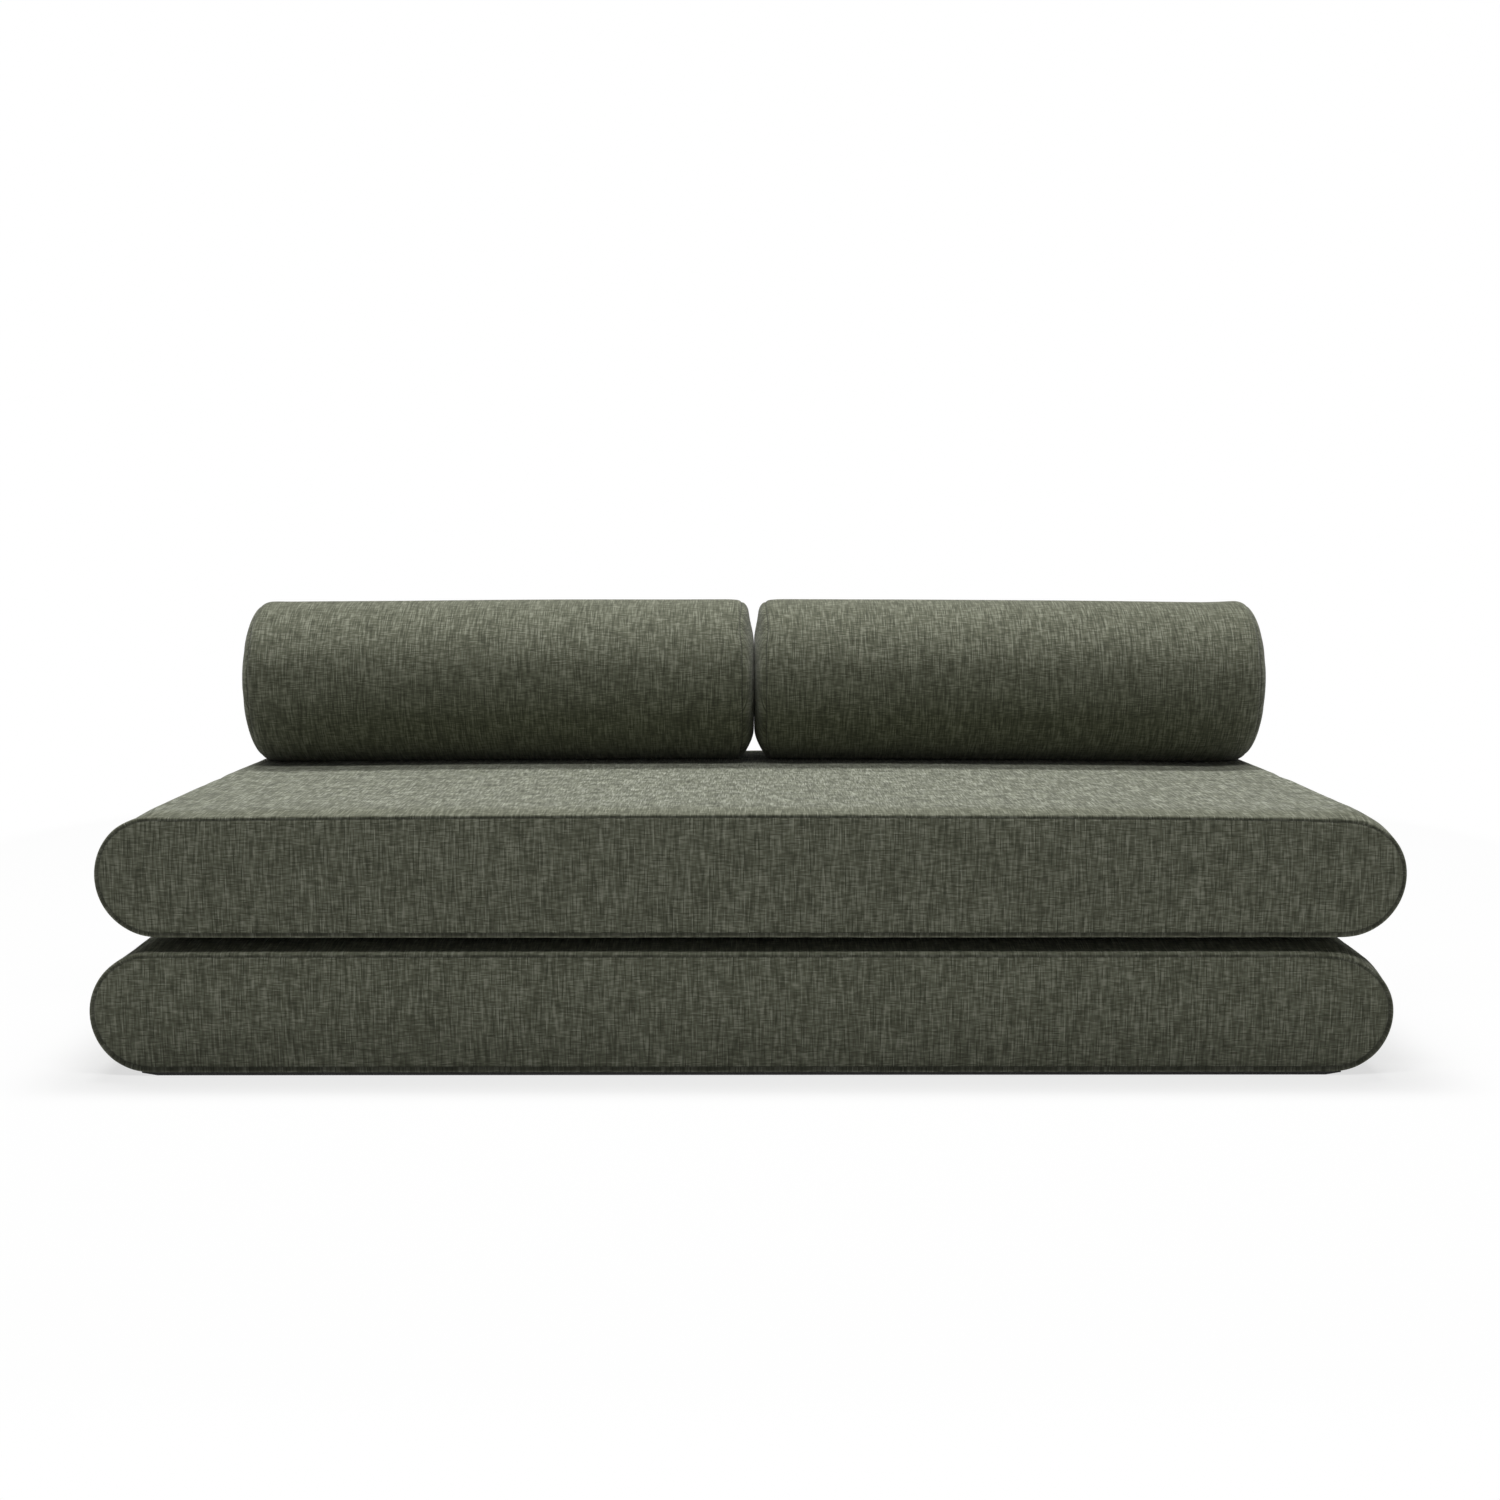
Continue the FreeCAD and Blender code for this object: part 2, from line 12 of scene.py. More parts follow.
import bmesh
import bpy
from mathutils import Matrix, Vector, noise
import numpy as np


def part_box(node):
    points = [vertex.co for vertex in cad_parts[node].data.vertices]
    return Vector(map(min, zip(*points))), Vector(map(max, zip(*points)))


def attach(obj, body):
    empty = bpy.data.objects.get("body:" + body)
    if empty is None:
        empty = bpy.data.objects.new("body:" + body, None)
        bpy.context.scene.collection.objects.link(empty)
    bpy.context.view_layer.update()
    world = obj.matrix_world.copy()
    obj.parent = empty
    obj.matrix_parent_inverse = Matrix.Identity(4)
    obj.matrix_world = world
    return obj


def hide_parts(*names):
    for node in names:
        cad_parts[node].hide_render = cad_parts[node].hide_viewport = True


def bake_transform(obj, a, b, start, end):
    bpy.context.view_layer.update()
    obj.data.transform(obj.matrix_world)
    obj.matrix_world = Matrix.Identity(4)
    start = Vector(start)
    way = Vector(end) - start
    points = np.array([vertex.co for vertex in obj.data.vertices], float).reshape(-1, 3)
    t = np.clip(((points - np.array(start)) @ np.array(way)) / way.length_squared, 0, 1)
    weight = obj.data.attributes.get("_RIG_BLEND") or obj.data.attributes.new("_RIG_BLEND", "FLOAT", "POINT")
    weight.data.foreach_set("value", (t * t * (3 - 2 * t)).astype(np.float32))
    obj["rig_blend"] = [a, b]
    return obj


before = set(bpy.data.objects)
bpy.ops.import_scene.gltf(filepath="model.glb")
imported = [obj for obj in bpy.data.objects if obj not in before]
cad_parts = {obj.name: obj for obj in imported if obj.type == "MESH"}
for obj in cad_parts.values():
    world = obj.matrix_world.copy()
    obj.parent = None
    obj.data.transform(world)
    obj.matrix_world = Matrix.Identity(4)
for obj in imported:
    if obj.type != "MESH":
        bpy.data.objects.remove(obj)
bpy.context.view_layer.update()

LOG = logging.getLogger("sofa_bed")
IMAGE_SIDE = 1500  # pixels of the photograph

WEAVE_MAP = "weave"  # UV map: the place on the cloth, in metres
SEAM_GAP = "seam_gap"  # of a point: its distance from the seam, below 0 on a panel or end disc
HELD = "held"  # of a point: 1 where the filling can't move the cloth
PAINTED_SHEEN = "painted_sheen"  # of a point: how much painted sheen lightens the cloth
FULL_PAINTED_SHEEN = 1.44  # the most painted sheen, on a mattress away from its front and rear panels

LANE_STEP = 7.31  # noise cells from one thread to the next
LANE_SHIFT = 41.0  # most noise cells by which the slubs of a thread start later
WAVE_PITCH = math.tau / 20.0  # from band to band of a Wave texture at scale 1
NOISE_SPAN = (0.3, 0.7)  # where most values of a noise lie
MIX_COLOURS = (6, 7)  # the colour inputs of a Mix node
MIX_RESULT = 2  # its colour output
EVEN = (1.0, 1.0, 1.0)  # the same scale along each axis
WHITE = (1.0, 1.0, 1.0)
WELD = 1e-6  # points nearer than this are one
ON_SEAM = 1e-5  # a point nearer to the seam than this lies on it
TINY = 1e-9  # keeps a division off 0

Triple = tuple[float, float, float]
Colour = Triple
Span = tuple[float, float]
Socket = bpy.types.NodeSocket


class Side(Enum):
    """The face of the starting block that a face of a mattress cover comes from."""

    LEFT = (-1, 0, 0)
    RIGHT = (1, 0, 0)
    FRONT = (0, -1, 0)
    REAR = (0, 1, 0)
    UNDER = (0, 0, -1)
    TOP = (0, 0, 1)

    @classmethod
    def of(cls, normal: Vector) -> "Side":
        """The side that a face of the block looks to."""
        return max(cls, key=lambda side: normal.dot(Vector(side.value)))


class Run(Enum):
    """The way that a set of threads or ribs runs on the cloth."""

    ALONG = 0
    ACROSS = 1


class Blend(Enum):
    """How a colour is laid over another one."""

    TINT = "MULTIPLY"
    COVER = "MIX"


def smooth_step(value: float, low: float, high: float) -> float:
    """A share that goes smoothly from 0 at low to 1 at high."""
    share = min(1.0, max(0.0, (value - low) / (high - low)))
    return share * share * (3.0 - 2.0 * share)


def eased(value: float, low: float, high: float, ease: float) -> float:
    """A value that stays between two limits, and levels off softly within the ease of each."""
    value = high - ease * math.log1p(math.exp((high - value) / ease))
    return low + ease * math.log1p(math.exp((value - low) / ease))


def put_in_order(bm: bmesh.types.BMesh) -> None:
    """Sort the parts of a mesh by place, so that it is the same mesh in every run.

    Args:
        bm: The mesh.
    """
    orders = (
        (bm.verts, lambda vertex: tuple(vertex.co)),
        (bm.edges, lambda edge: sorted(vertex.index for vertex in edge.verts)),
        (bm.faces, lambda face: sorted(vertex.index for vertex in face.verts)),
    )
    for parts, place in orders:
        ranks = {part: rank for rank, part in enumerate(sorted(parts, key=place))}
        parts.sort(key=ranks.get)
        parts.index_update()


def link_piece(name: str, bm: bmesh.types.BMesh) -> bpy.types.Object:
    """Turn a finished bmesh into a smooth-shaded object of the scene.

    Args:
        name: Name of the piece.
        bm: The mesh, which is freed.

    Returns:
        The new object, at the origin.
    """
    put_in_order(bm)
    mesh = bpy.data.meshes.new(name)
    bm.to_mesh(mesh)
    bm.free()
    mesh.shade_smooth()
    piece = bpy.data.objects.new(name, mesh)
    bpy.context.scene.collection.objects.link(piece)
    return piece


class Shader:
    """A node material under construction, with its Principled shader."""

    def __init__(self, name: str, roughness: float) -> None:
        """Start a material with its shader and output.

        Args:
            name: Name of the material.
            roughness: Plain roughness of the surface.
        """
        self.material = bpy.data.materials.new(name)
        self.material.use_nodes = True
        self.tree = self.material.node_tree
        self.tree.nodes.clear()
        self.surface = self.tree.nodes.new("ShaderNodeBsdfPrincipled")
        self.output = self.tree.nodes.new("ShaderNodeOutputMaterial")
        self.feed(self.output.inputs["Surface"], self.surface.outputs["BSDF"])
        self.set(Roughness=roughness)

    def node(self, kind: str, **settings: object) -> bpy.types.Node:
        """Add a node.

        Args:
            kind: Blender's name of the kind of node.
            settings: Values of the node's own properties.

        Returns:
            The new node.
        """
        made = self.tree.nodes.new(kind)
        for key, value in settings.items():
            setattr(made, key, value)
        return made

    def feed(self, socket: Socket, value: Socket | float) -> None:
        """Give an input a link or a plain number.

        Args:
            socket: The input.
            value: The output that is linked to it, or the number.
        """
        if isinstance(value, bpy.types.NodeSocket):
            self.tree.links.new(value, socket)
        else:
            socket.default_value = value

    def set(self, **values: float | tuple[float, ...]) -> None:
        """Set plain values of the surface, by the names of its inputs with _ for a space."""
        for key, value in values.items():
            self.surface.inputs[key.replace("_", " ")].default_value = value

    def cloth(self) -> Socket:
        """The piece's own map of the cloth, in metres along and across it."""
        return self.node("ShaderNodeUVMap", uv_map=WEAVE_MAP).outputs["UV"]

    def place(self) -> Socket:
        """Object coordinates, in metres."""
        return self.node("ShaderNodeTexCoord").outputs["Object"]

    def attribute(self, name: str) -> Socket:
        """A value that the mesh carries."""
        return self.node("ShaderNodeAttribute", attribute_name=name).outputs["Fac"]

    def parts(self, vector: Socket) -> bpy.types.NodeOutputs:
        """Take a vector apart.

        Args:
            vector: The vector.

        Returns:
            The values along its axes.
        """
        made = self.node("ShaderNodeSeparateXYZ")
        self.feed(made.inputs[0], vector)
        return made.outputs

    def maths(self, operation: str, first: Socket | float, second: Socket | float = 0.0) -> Socket:
        """One step of arithmetic.

        Args:
            operation: Blender's name of the operation.
            first: The first value.
            second: The second value, where the operation takes one.

        Returns:
            The result.
        """
        made = self.node("ShaderNodeMath", operation=operation)
        self.feed(made.inputs[0], first)
        self.feed(made.inputs[1], second)
        return made.outputs["Value"]

    def plus(self, first: Socket | float, second: Socket | float) -> Socket:
        """Two values added."""
        return self.maths("ADD", first, second)

    def minus(self, first: Socket | float, second: Socket | float) -> Socket:
        """The second value taken from the first."""
        return self.maths("SUBTRACT", first, second)

    def times(self, first: Socket | float, second: Socket | float) -> Socket:
        """Two values multiplied."""
        return self.maths("MULTIPLY", first, second)

    def over(self, first: Socket | float, second: Socket | float) -> Socket:
        """The first value divided by the second."""
        return self.maths("DIVIDE", first, second)

    def unsigned(self, value: Socket) -> Socket:
        """A value without its sign."""
        return self.maths("ABSOLUTE", value)

    def weighed(self, first: Socket, second: Socket, share: float) -> Socket:
        """Two values added, the first by its share and the second by the rest."""
        return self.plus(self.times(first, share), self.times(second, 1.0 - share))

    def mottle(self, vector: Socket, scale: Triple, detail: float,
               roughness: float = 0.5) -> Socket:
        """Noise from 0 to 1 in cells of 1 over the scale.

        Args:
            vector: Coordinates in metres.
            scale: Cells in a metre along each axis.
            detail: Finer layers on top.
            roughness: Weight of the finer layers.

        Returns:
            The noise value.
        """
        stretched = self.node("ShaderNodeMapping")
        stretched.inputs["Scale"].default_value = scale
        self.feed(stretched.inputs["Vector"], vector)
        made = self.node("ShaderNodeTexNoise", noise_dimensions="3D")
        self.feed(made.inputs["Vector"], stretched.outputs["Vector"])
        made.inputs["Scale"].default_value = 1.0
        made.inputs["Detail"].default_value = detail
        made.inputs["Roughness"].default_value = roughness
        return made.outputs["Fac"]

    def lanes(self, vector: Socket, width: float, slub: float, run: Run) -> Socket:
        """Tone of side-by-side threads, each with slubs that start at a place of its own.

        Args:
            vector: Coordinates in metres.
            width: Of one thread.
            slub: Length of a slub.
            run: The axis that the threads follow.

        Returns:
            The tone, from 0 to 1.
        """
        parts = self.parts(vector)
        along, across = parts[run.value], parts[1 - run.value]
        lane = self.maths("FLOOR", self.over(across, width))
        start = self.node("ShaderNodeTexWhiteNoise", noise_dimensions="1D")
        self.feed(start.inputs["W"], lane)
        shift = self.times(start.outputs["Value"], LANE_SHIFT)
        place = self.node("ShaderNodeCombineXYZ")
        self.feed(place.inputs[0], self.times(lane, LANE_STEP))
        self.feed(place.inputs[1], self.plus(self.over(along, slub), shift))
        return self.mottle(place.outputs[0], EVEN, 1.0)

    def ribs(self, vector: Socket, pitch: float, run: Run, wander: float = 0.0) -> Socket:
        """Even ribs of a pitch in metres, across the given run.

        Args:
            vector: Coordinates in metres.
            pitch: From rib to rib.
            run: The axis that the ribs follow each other on.
            wander: How far they stray from a straight line.

        Returns:
            The height of the ribs, from 0 to 1.
        """
        axis = "X" if run is Run.ALONG else "Y"
        made = self.node("ShaderNodeTexWave", wave_type="BANDS", bands_direction=axis)
        self.feed(made.inputs["Vector"], vector)
        made.inputs["Scale"].default_value = WAVE_PITCH / pitch
        made.inputs["Distortion"].default_value = wander
        return made.outputs["Fac"]

    def ranged(self, value: Socket, source: Span, target: Span) -> Socket:
        """Map a range of values smoothly onto another, clamped at both ends.

        Args:
            value: The plain value.
            source: The range that it comes from.
            target: The range that it goes to.

        Returns:
            The mapped value.
        """
        made = self.node("ShaderNodeMapRange", interpolation_type="SMOOTHSTEP")
        self.feed(made.inputs["Value"], value)
        limits = zip(("From Min", "From Max", "To Min", "To Max"), (*source, *target))
        for socket, limit in limits:
            made.inputs[socket].default_value = limit
        return made.outputs["Result"]

    def tones(self, value: Socket, places: tuple[float, ...],
              colours: tuple[Colour, ...]) -> Socket:
        """Colours along a value.

        Args:
            value: The value, from 0 to 1.
            places: Where each colour stands.
            colours: The colours.

        Returns:
            The colour at the value.
        """
        made = self.node("ShaderNodeValToRGB")
        ramp = made.color_ramp
        while len(ramp.elements) < len(places):
            ramp.elements.new(1.0)
        for element, place, colour in zip(ramp.elements, places, colours):
            element.position = place
            element.color = (*colour, 1.0)
        self.feed(made.inputs["Fac"], value)
        return made.outputs["Color"]

    def shaded(self, colour: Socket, share: Socket) -> Socket:
        """A colour multiplied by a value.

        Args:
            colour: The plain colour.
            share: The value.

        Returns:
            The lighter or darker colour.
        """
        made = self.node("ShaderNodeVectorMath", operation="SCALE")
        self.feed(made.inputs[0], colour)
        self.feed(made.inputs["Scale"], share)
        return made.outputs["Vector"]

    def laid_over(self, colour: Socket, other: Colour, share: Socket, blend: Blend) -> Socket:
        """A colour that goes over to another one.

        Args:
            colour: The colour below.
            other: The colour on top.
            share: How far it goes over, from 0 to 1.
            blend: How the colour on top is laid.

        Returns:
            The mixed colour.
        """
        made = self.node("ShaderNodeMix", data_type="RGBA", blend_type=blend.value)
        below, above = (made.inputs[index] for index in MIX_COLOURS)
        self.feed(made.inputs["Factor"], share)
        self.feed(below, colour)
        above.default_value = (*other, 1.0)
        return made.outputs[MIX_RESULT]

    def layered(self, below: Socket, above: Socket, share: Socket) -> Socket:
        """Two surfaces mixed by a share, from the one below at 0 to the one above at 1.

        Args:
            below: The first surface.
            above: The second surface.
            share: How much shows of the second.

        Returns:
            The mixed surface.
        """
        made = self.node("ShaderNodeMixShader")
        for socket, value in zip(made.inputs, (share, below, above)):
            self.feed(socket, value)
        return made.outputs["Shader"]

    def finish(self, colour: Socket, height: Socket, depth: float,
               strength: float) -> bpy.types.Material:
        """Give the surface its colour and relief.

        Args:
            colour: Base colour.
            height: Relief from 0 to 1.
            depth: Depth of the relief in metres.
            strength: How strongly it shows.

        Returns:
            The finished material.
        """
        bump = self.node("ShaderNodeBump")
        bump.inputs["Strength"].default_value = strength
        bump.inputs["Distance"].default_value = depth
        self.feed(bump.inputs["Height"], height)
        self.feed(self.surface.inputs["Base Color"], colour)
        self.feed(self.surface.inputs["Normal"], bump.outputs["Normal"])
        return self.material


@dataclass(frozen=True)
class Chenille:
    """The cover cloth: slubbed threads along and across, a crushed pile, painted sheen on the mattresses
    away from their panels, and seams darkened by their thread and by painted shade.
    """

    name: str = "olive_chenille"
    deep: Colour = (0.074, 0.078, 0.052)
    middle: Colour = (0.146, 0.153, 0.106)
    bright: Colour = (0.315, 0.325, 0.250)
    tone_places: Triple = (0.36, 0.5, 0.66)
    thread: float = 0.0019  # width of a thread
    warp_slub: float = 0.038  # length of a slub
    weft_slub: float = 0.019
    warp_share: float = 0.56
    crush_cells: Triple = (1.0 / 0.022, 1.0 / 0.03, 1.0)  # in a metre
    crush_detail: float = 3.0
    crush_roughness: float = 0.65
    crush_share: Span = (0.3, 1.9)  # how much the crush shows: without painted sheen, with the most painted sheen
    # tint of the painted sheen, a little bluer
    painted_sheen_tint: Colour = (1.0, 1.0, 1.09)
    # dark of a seam line: partly its thread, partly painted shade in the groove
    seam_thread_and_shade: float = 0.5
    seam_edge: Span = (0.0004, 0.0022)  # from the dark of a seam to the plain cloth
    weave_share: float = 0.3
    pile_depth: float = 0.0009
    pile_strength: float = 0.5
    roughness: float = 0.88
    specular: float = 0.2
    sheen: float = 0.2
    sheen_roughness: float = 0.5
    sheen_tint: Colour = (0.95, 0.96, 0.90)

    def material(self) -> bpy.types.Material:
        """Make the material.

        Returns:
            The material.
        """
        shader = Shader(self.name, self.roughness)
        shader.set(Specular_IOR_Level=self.specular, Sheen_Weight=self.sheen,
                   Sheen_Roughness=self.sheen_roughness, Sheen_Tint=(*self.sheen_tint, 1.0))
        cloth = shader.cloth()
        warp = shader.lanes(cloth, self.thread, self.warp_slub, Run.ACROSS)
        weft = shader.lanes(cloth, self.thread, self.weft_slub, Run.ALONG)
        threads = shader.weighed(warp, weft, self.warp_share)
        crush = shader.mottle(cloth, self.crush_cells, self.crush_detail, self.crush_roughness)
        weave = shader.times(shader.ribs(cloth, self.thread, Run.ALONG),
                             shader.ribs(cloth, self.thread, Run.ACROSS))
        relief = shader.plus(shader.plus(threads, shader.times(weave, self.weave_share)), crush)
        colour = self.colour(shader, threads, crush)
        return shader.finish(colour, relief, self.pile_depth, self.pile_strength)

    def colour(self, shader: Shader, threads: Socket, crush: Socket) -> Socket:
        """The colour of the cloth: its threads, the crush of its pile, painted sheen, and its seams darkened
        by thread and painted shade.

        Args:
            shader: The material that it is made in.
            threads: Tone of the crossing threads.
            crush: How the pile is crushed.

        Returns:
            The colour.
        """
        colour = shader.tones(threads, self.tone_places, (self.deep, self.middle, self.bright))
        # Painted sheen: where the mesh marks it, the cloth is lightened and tinted a little bluer.
        painted_sheen = shader.attribute(PAINTED_SHEEN)
        laid = shader.ranged(painted_sheen, (1.0, FULL_PAINTED_SHEEN), (0.0, 1.0))
        depth = shader.ranged(painted_sheen, (1.0, FULL_PAINTED_SHEEN), self.crush_share)
        lay = shader.times(shader.minus(crush, 0.5), depth)
        colour = shader.laid_over(colour, self.painted_sheen_tint, laid, Blend.TINT)
        colour = shader.shaded(colour, shader.times(painted_sheen, shader.plus(lay, 1.0)))
        # The seam line darkens: partly its thread, partly painted shade in the groove.
        gap = shader.unsigned(shader.attribute(SEAM_GAP))
        return shader.shaded(colour, shader.ranged(gap, self.seam_edge, (self.seam_thread_and_shade, 1.0)))


@dataclass(frozen=True)
class Webbing:
    """The zip tapes, ribbed along their length."""

    name: str
    dark: Colour
    light: Colour
    rib_pitch: float
    tone_places: Span = (0.35, 0.65)
    yarn_cells: Triple = (60.0, 900.0, 900.0)
    wear_cells: Triple = (9.0, 9.0, 30.0)
    wear: Span = (0.9, 1.08)
    detail: float = 2.0
    rib_wander: float = 0.4
    rib_share: float = 0.6
    rib_depth: float = 0.0005
    rib_strength: float = 0.7
    roughness: float = 0.8
    sheen: float = 0.15

    def material(self) -> bpy.types.Material:
        """Make the material.

        Returns:
            The material.
        """
        shader = Shader(self.name, self.roughness)
        shader.set(Sheen_Weight=self.sheen)
        place = shader.place()
        yarn = shader.mottle(place, self.yarn_cells, self.detail)
        colour = shader.tones(yarn, self.tone_places, (self.dark, self.light))
        rubbed = shader.mottle(place, self.wear_cells, self.detail)
        colour = shader.shaded(colour, shader.ranged(rubbed, NOISE_SPAN, self.wear))
        ribs = shader.ribs(place, self.rib_pitch, Run.ALONG, self.rib_wander)
        relief = shader.weighed(ribs, yarn, self.rib_share)
        return shader.finish(colour, relief, self.rib_depth, self.rib_strength)


@dataclass(frozen=True)
class StitchedWebbing:
    """The strip that joins the mattresses: ribs across it, two rows of stitches along each lap."""

    name: str = "hinge_webbing"
    dark: Colour = (0.030, 0.032, 0.021)
    light: Colour = (0.078, 0.083, 0.057)
    thread: Colour = (0.150, 0.155, 0.110)
    tone_places: Span = NOISE_SPAN
    yarn_cells: Triple = (420.0, 70.0, 1.0)
    yarn_roughness: float = 0.6
    yarn_share: float = 0.65
    wear_cells: Triple = (9.0, 40.0, 1.0)
    wear: Span = (0.85, 1.12)
    detail: float = 2.0
    rib_pitch: float = 0.0036
    rib_wander: float = 0.5
    rib_depth: float = 0.0006
    rib_strength: float = 0.8
    rows: Span = (0.0195, 0.0290)
    row_half: float = 0.0008
    stitch: float = 0.0064
    stitch_half: float = 0.38
    stitch_edge: float = 0.06
    roughness: float = 0.8
    sheen: float = 0.15

    def material(self) -> bpy.types.Material:
        """Make the material.

        Returns:
            The material.
        """
        shader = Shader(self.name, self.roughness)
        shader.set(Sheen_Weight=self.sheen)
        cloth = shader.cloth()
        yarn = shader.mottle(cloth, self.yarn_cells, self.detail, self.yarn_roughness)
        ribs = shader.ribs(cloth, self.rib_pitch, Run.ALONG, self.rib_wander)
        tone = shader.weighed(yarn, ribs, self.yarn_share)
        colour = shader.tones(tone, self.tone_places, (self.dark, self.light))
        rubbed = shader.mottle(cloth, self.wear_cells, self.detail)
        colour = shader.shaded(colour, shader.ranged(rubbed, NOISE_SPAN, self.wear))
        stitches = self.stitches(shader, cloth)
        colour = shader.laid_over(colour, self.thread, stitches, Blend.COVER)
        return shader.finish(colour, shader.plus(tone, stitches), self.rib_depth, self.rib_strength)

    def stitches(self, shader: Shader, cloth: Socket) -> Socket:
        """Where the stitches lie.

        Args:
            shader: The material that they are made in.
            cloth: Place along the strip and from its middle line, in metres.

        Returns:
            1 on a stitch and 0 beside it.
        """
        parts = shader.parts(cloth)
        along = shader.maths("FRACT", shader.over(parts[0], self.stitch))
        from_middle = shader.unsigned(shader.minus(along, 0.5))
        dash_end = (self.stitch_half - self.stitch_edge, self.stitch_half)
        dash = shader.ranged(from_middle, dash_end, (1.0, 0.0))
        out = shader.unsigned(parts[1])
        from_rows = [shader.unsigned(shader.minus(out, row)) for row in self.rows]
        edge = (self.row_half / 2, self.row_half)
        bands = [shader.ranged(from_row, edge, (1.0, 0.0)) for from_row in from_rows]
        return shader.times(shader.maths("MAXIMUM", *bands), dash)


@dataclass(frozen=True)
class Moulded:
    """Hard small goods: nylon zip coil, lacquered metal and the rubber of the non-slip sheet."""

    name: str
    dark: Colour
    light: Colour
    roughness: float
    metallic: float
    rib_pitch: float
    rib_depth: float
    tone_places: Span = (0.4, 0.72)
    grain_cells: Triple = (240.0, 240.0, 240.0)
    grain_detail: float = 4.0
    grain_roughness: float = 0.65
    grain_share: float = 0.2
    rib_wander: float = 0.1
    rib_strength: float = 0.8
    polish: Span = (-0.08, 0.1)

    def material(self) -> bpy.types.Material:
        """Make the material.

        Returns:
            The material.
        """
        shader = Shader(self.name, self.roughness)
        shader.set(Metallic=self.metallic)
        place = shader.place()
        grain = shader.mottle(place, self.grain_cells, self.grain_detail, self.grain_roughness)
        colour = shader.tones(grain, self.tone_places, (self.dark, self.light))
        ribs = shader.ribs(place, self.rib_pitch, Run.ALONG, self.rib_wander)
        relief = shader.plus(ribs, shader.times(grain, self.grain_share))
        smooth, dull = (self.roughness + change for change in self.polish)
        rubbed = shader.ranged(grain, NOISE_SPAN, (smooth, dull))
        shader.feed(shader.surface.inputs["Roughness"], rubbed)
        return shader.finish(colour, relief, self.rib_depth, self.rib_strength)


ZIP_TAPE = Webbing("zip_tape", (0.035, 0.037, 0.025), (0.075, 0.080, 0.055), rib_pitch=0.0012)
ZIP_COIL = Moulded("zip_coil", (0.022, 0.024, 0.017), (0.045, 0.048, 0.035), roughness=0.42,
                   metallic=0.0, rib_pitch=0.0016, rib_depth=0.0006)
ZIP_METAL = Moulded("zip_metal", (0.050, 0.048, 0.042), (0.160, 0.155, 0.140), roughness=0.38,
                    metallic=0.85, rib_pitch=0.004, rib_depth=0.00005)
GRIP_RUBBER = Moulded("grip_sheet", (0.012, 0.012, 0.011), (0.030, 0.030, 0.028), roughness=0.75,
                      metallic=0.0, rib_pitch=0.005, rib_depth=0.0006)


@dataclass(frozen=True)
class Filling:
    """The air that swells a cover for a few frames, and how the cloth gives way to it."""

    pressure: float = 4.0
    frames: int = 20
    quality: int = 4
    mass: float = 0.3
    stretch: float = 25.0
    shear: float = 10.0
    bending: float = 1.0

    def swell(self, piece: bpy.types.Object, held: list[int]) -> list[Vector]:
        """Fill a cover, whose own mesh stays as it is.

        Args:
            piece: The cover.
            held: The points that stay in place.

        Returns:
            How far each point moves.
        """
        seams = piece.vertex_groups.new(name=HELD)
        seams.add(held, 1.0, "REPLACE")
        cloth = piece.modifiers.new("filling", "CLOTH")
        self.set_cloth(cloth, seams.name)
        scene = bpy.context.scene
        for step in range(1, self.frames + 1):
            scene.frame_set(step)
        filled = piece.evaluated_get(bpy.context.evaluated_depsgraph_get()).to_mesh()
        moves = [new.co - old.co for new, old in zip(filled.vertices, piece.data.vertices)]
        piece.modifiers.remove(cloth)
        piece.vertex_groups.remove(seams)
        scene.frame_set(1)
        return moves

    def set_cloth(self, cloth: bpy.types.ClothModifier, held: str) -> None:
        """Set the stiffness of the cloth and the pressure in it.

        Args:
            cloth: The modifier.
            held: The vertex group of the points that stay in place.
        """
        settings = cloth.settings
        settings.quality = self.quality
        settings.mass = self.mass
        settings.tension_stiffness = self.stretch
        settings.compression_stiffness = self.stretch
        settings.shear_stiffness = self.shear
        settings.bending_stiffness = self.bending
        settings.vertex_group_mass = held
        settings.use_pressure = True
        settings.uniform_pressure_force = self.pressure
        settings.effector_weights.gravity = 0.0
        cloth.collision_settings.use_collision = False
        cloth.point_cache.frame_start = 1
        cloth.point_cache.frame_end = self.frames


@dataclass(frozen=True)
class PointMarks:
    """The layers of a mesh that say how each point of a cover lies on it."""

    gap: bmesh.types.BMLayerItem
    held: bmesh.types.BMLayerItem
    painted_sheen: bmesh.types.BMLayerItem

    @classmethod
    def on(cls, bm: bmesh.types.BMesh) -> "PointMarks":
        """Add the layers to a mesh."""
        return cls(*(bm.verts.layers.float.new(name) for name in (SEAM_GAP, HELD, PAINTED_SHEEN)))

    def write(self, vertex: bmesh.types.BMVert, gap: float, held: bool, painted_sheen: float) -> None:
        """Mark a point.

        Args:
            vertex: The point.
            gap: Its distance from the seam.
            held: Whether the filling leaves it where it is.
            painted_sheen: How much painted sheen lightens it.
        """
        vertex[self.gap] = gap
        vertex[self.held] = 1.0 if held else 0.0
        vertex[self.painted_sheen] = painted_sheen


def recess(bm: bmesh.types.BMesh, faces: list[bmesh.types.BMFace], move: Vector) -> None:
    """Sink a patch of faces into the surface, with walls round it, and hold its points.

    Args:
        bm: The mesh.
        faces: The patch.
        move: How the patch moves.
    """
    held_layer = bm.verts.layers.float[HELD]
    made = bmesh.ops.extrude_face_region(bm, geom=faces)["geom"]
    floor = [part for part in made if isinstance(part, bmesh.types.BMVert)]
    bmesh.ops.translate(bm, verts=floor, vec=move)
    stale = [face for face in faces if face.is_valid]
    rim = {vertex for face in stale for vertex in face.verts}
    bmesh.ops.delete(bm, geom=stale, context="FACES")
    for vertex in (*floor, *(vertex for vertex in rim if vertex.is_valid)):
        vertex[held_layer] = 1.0


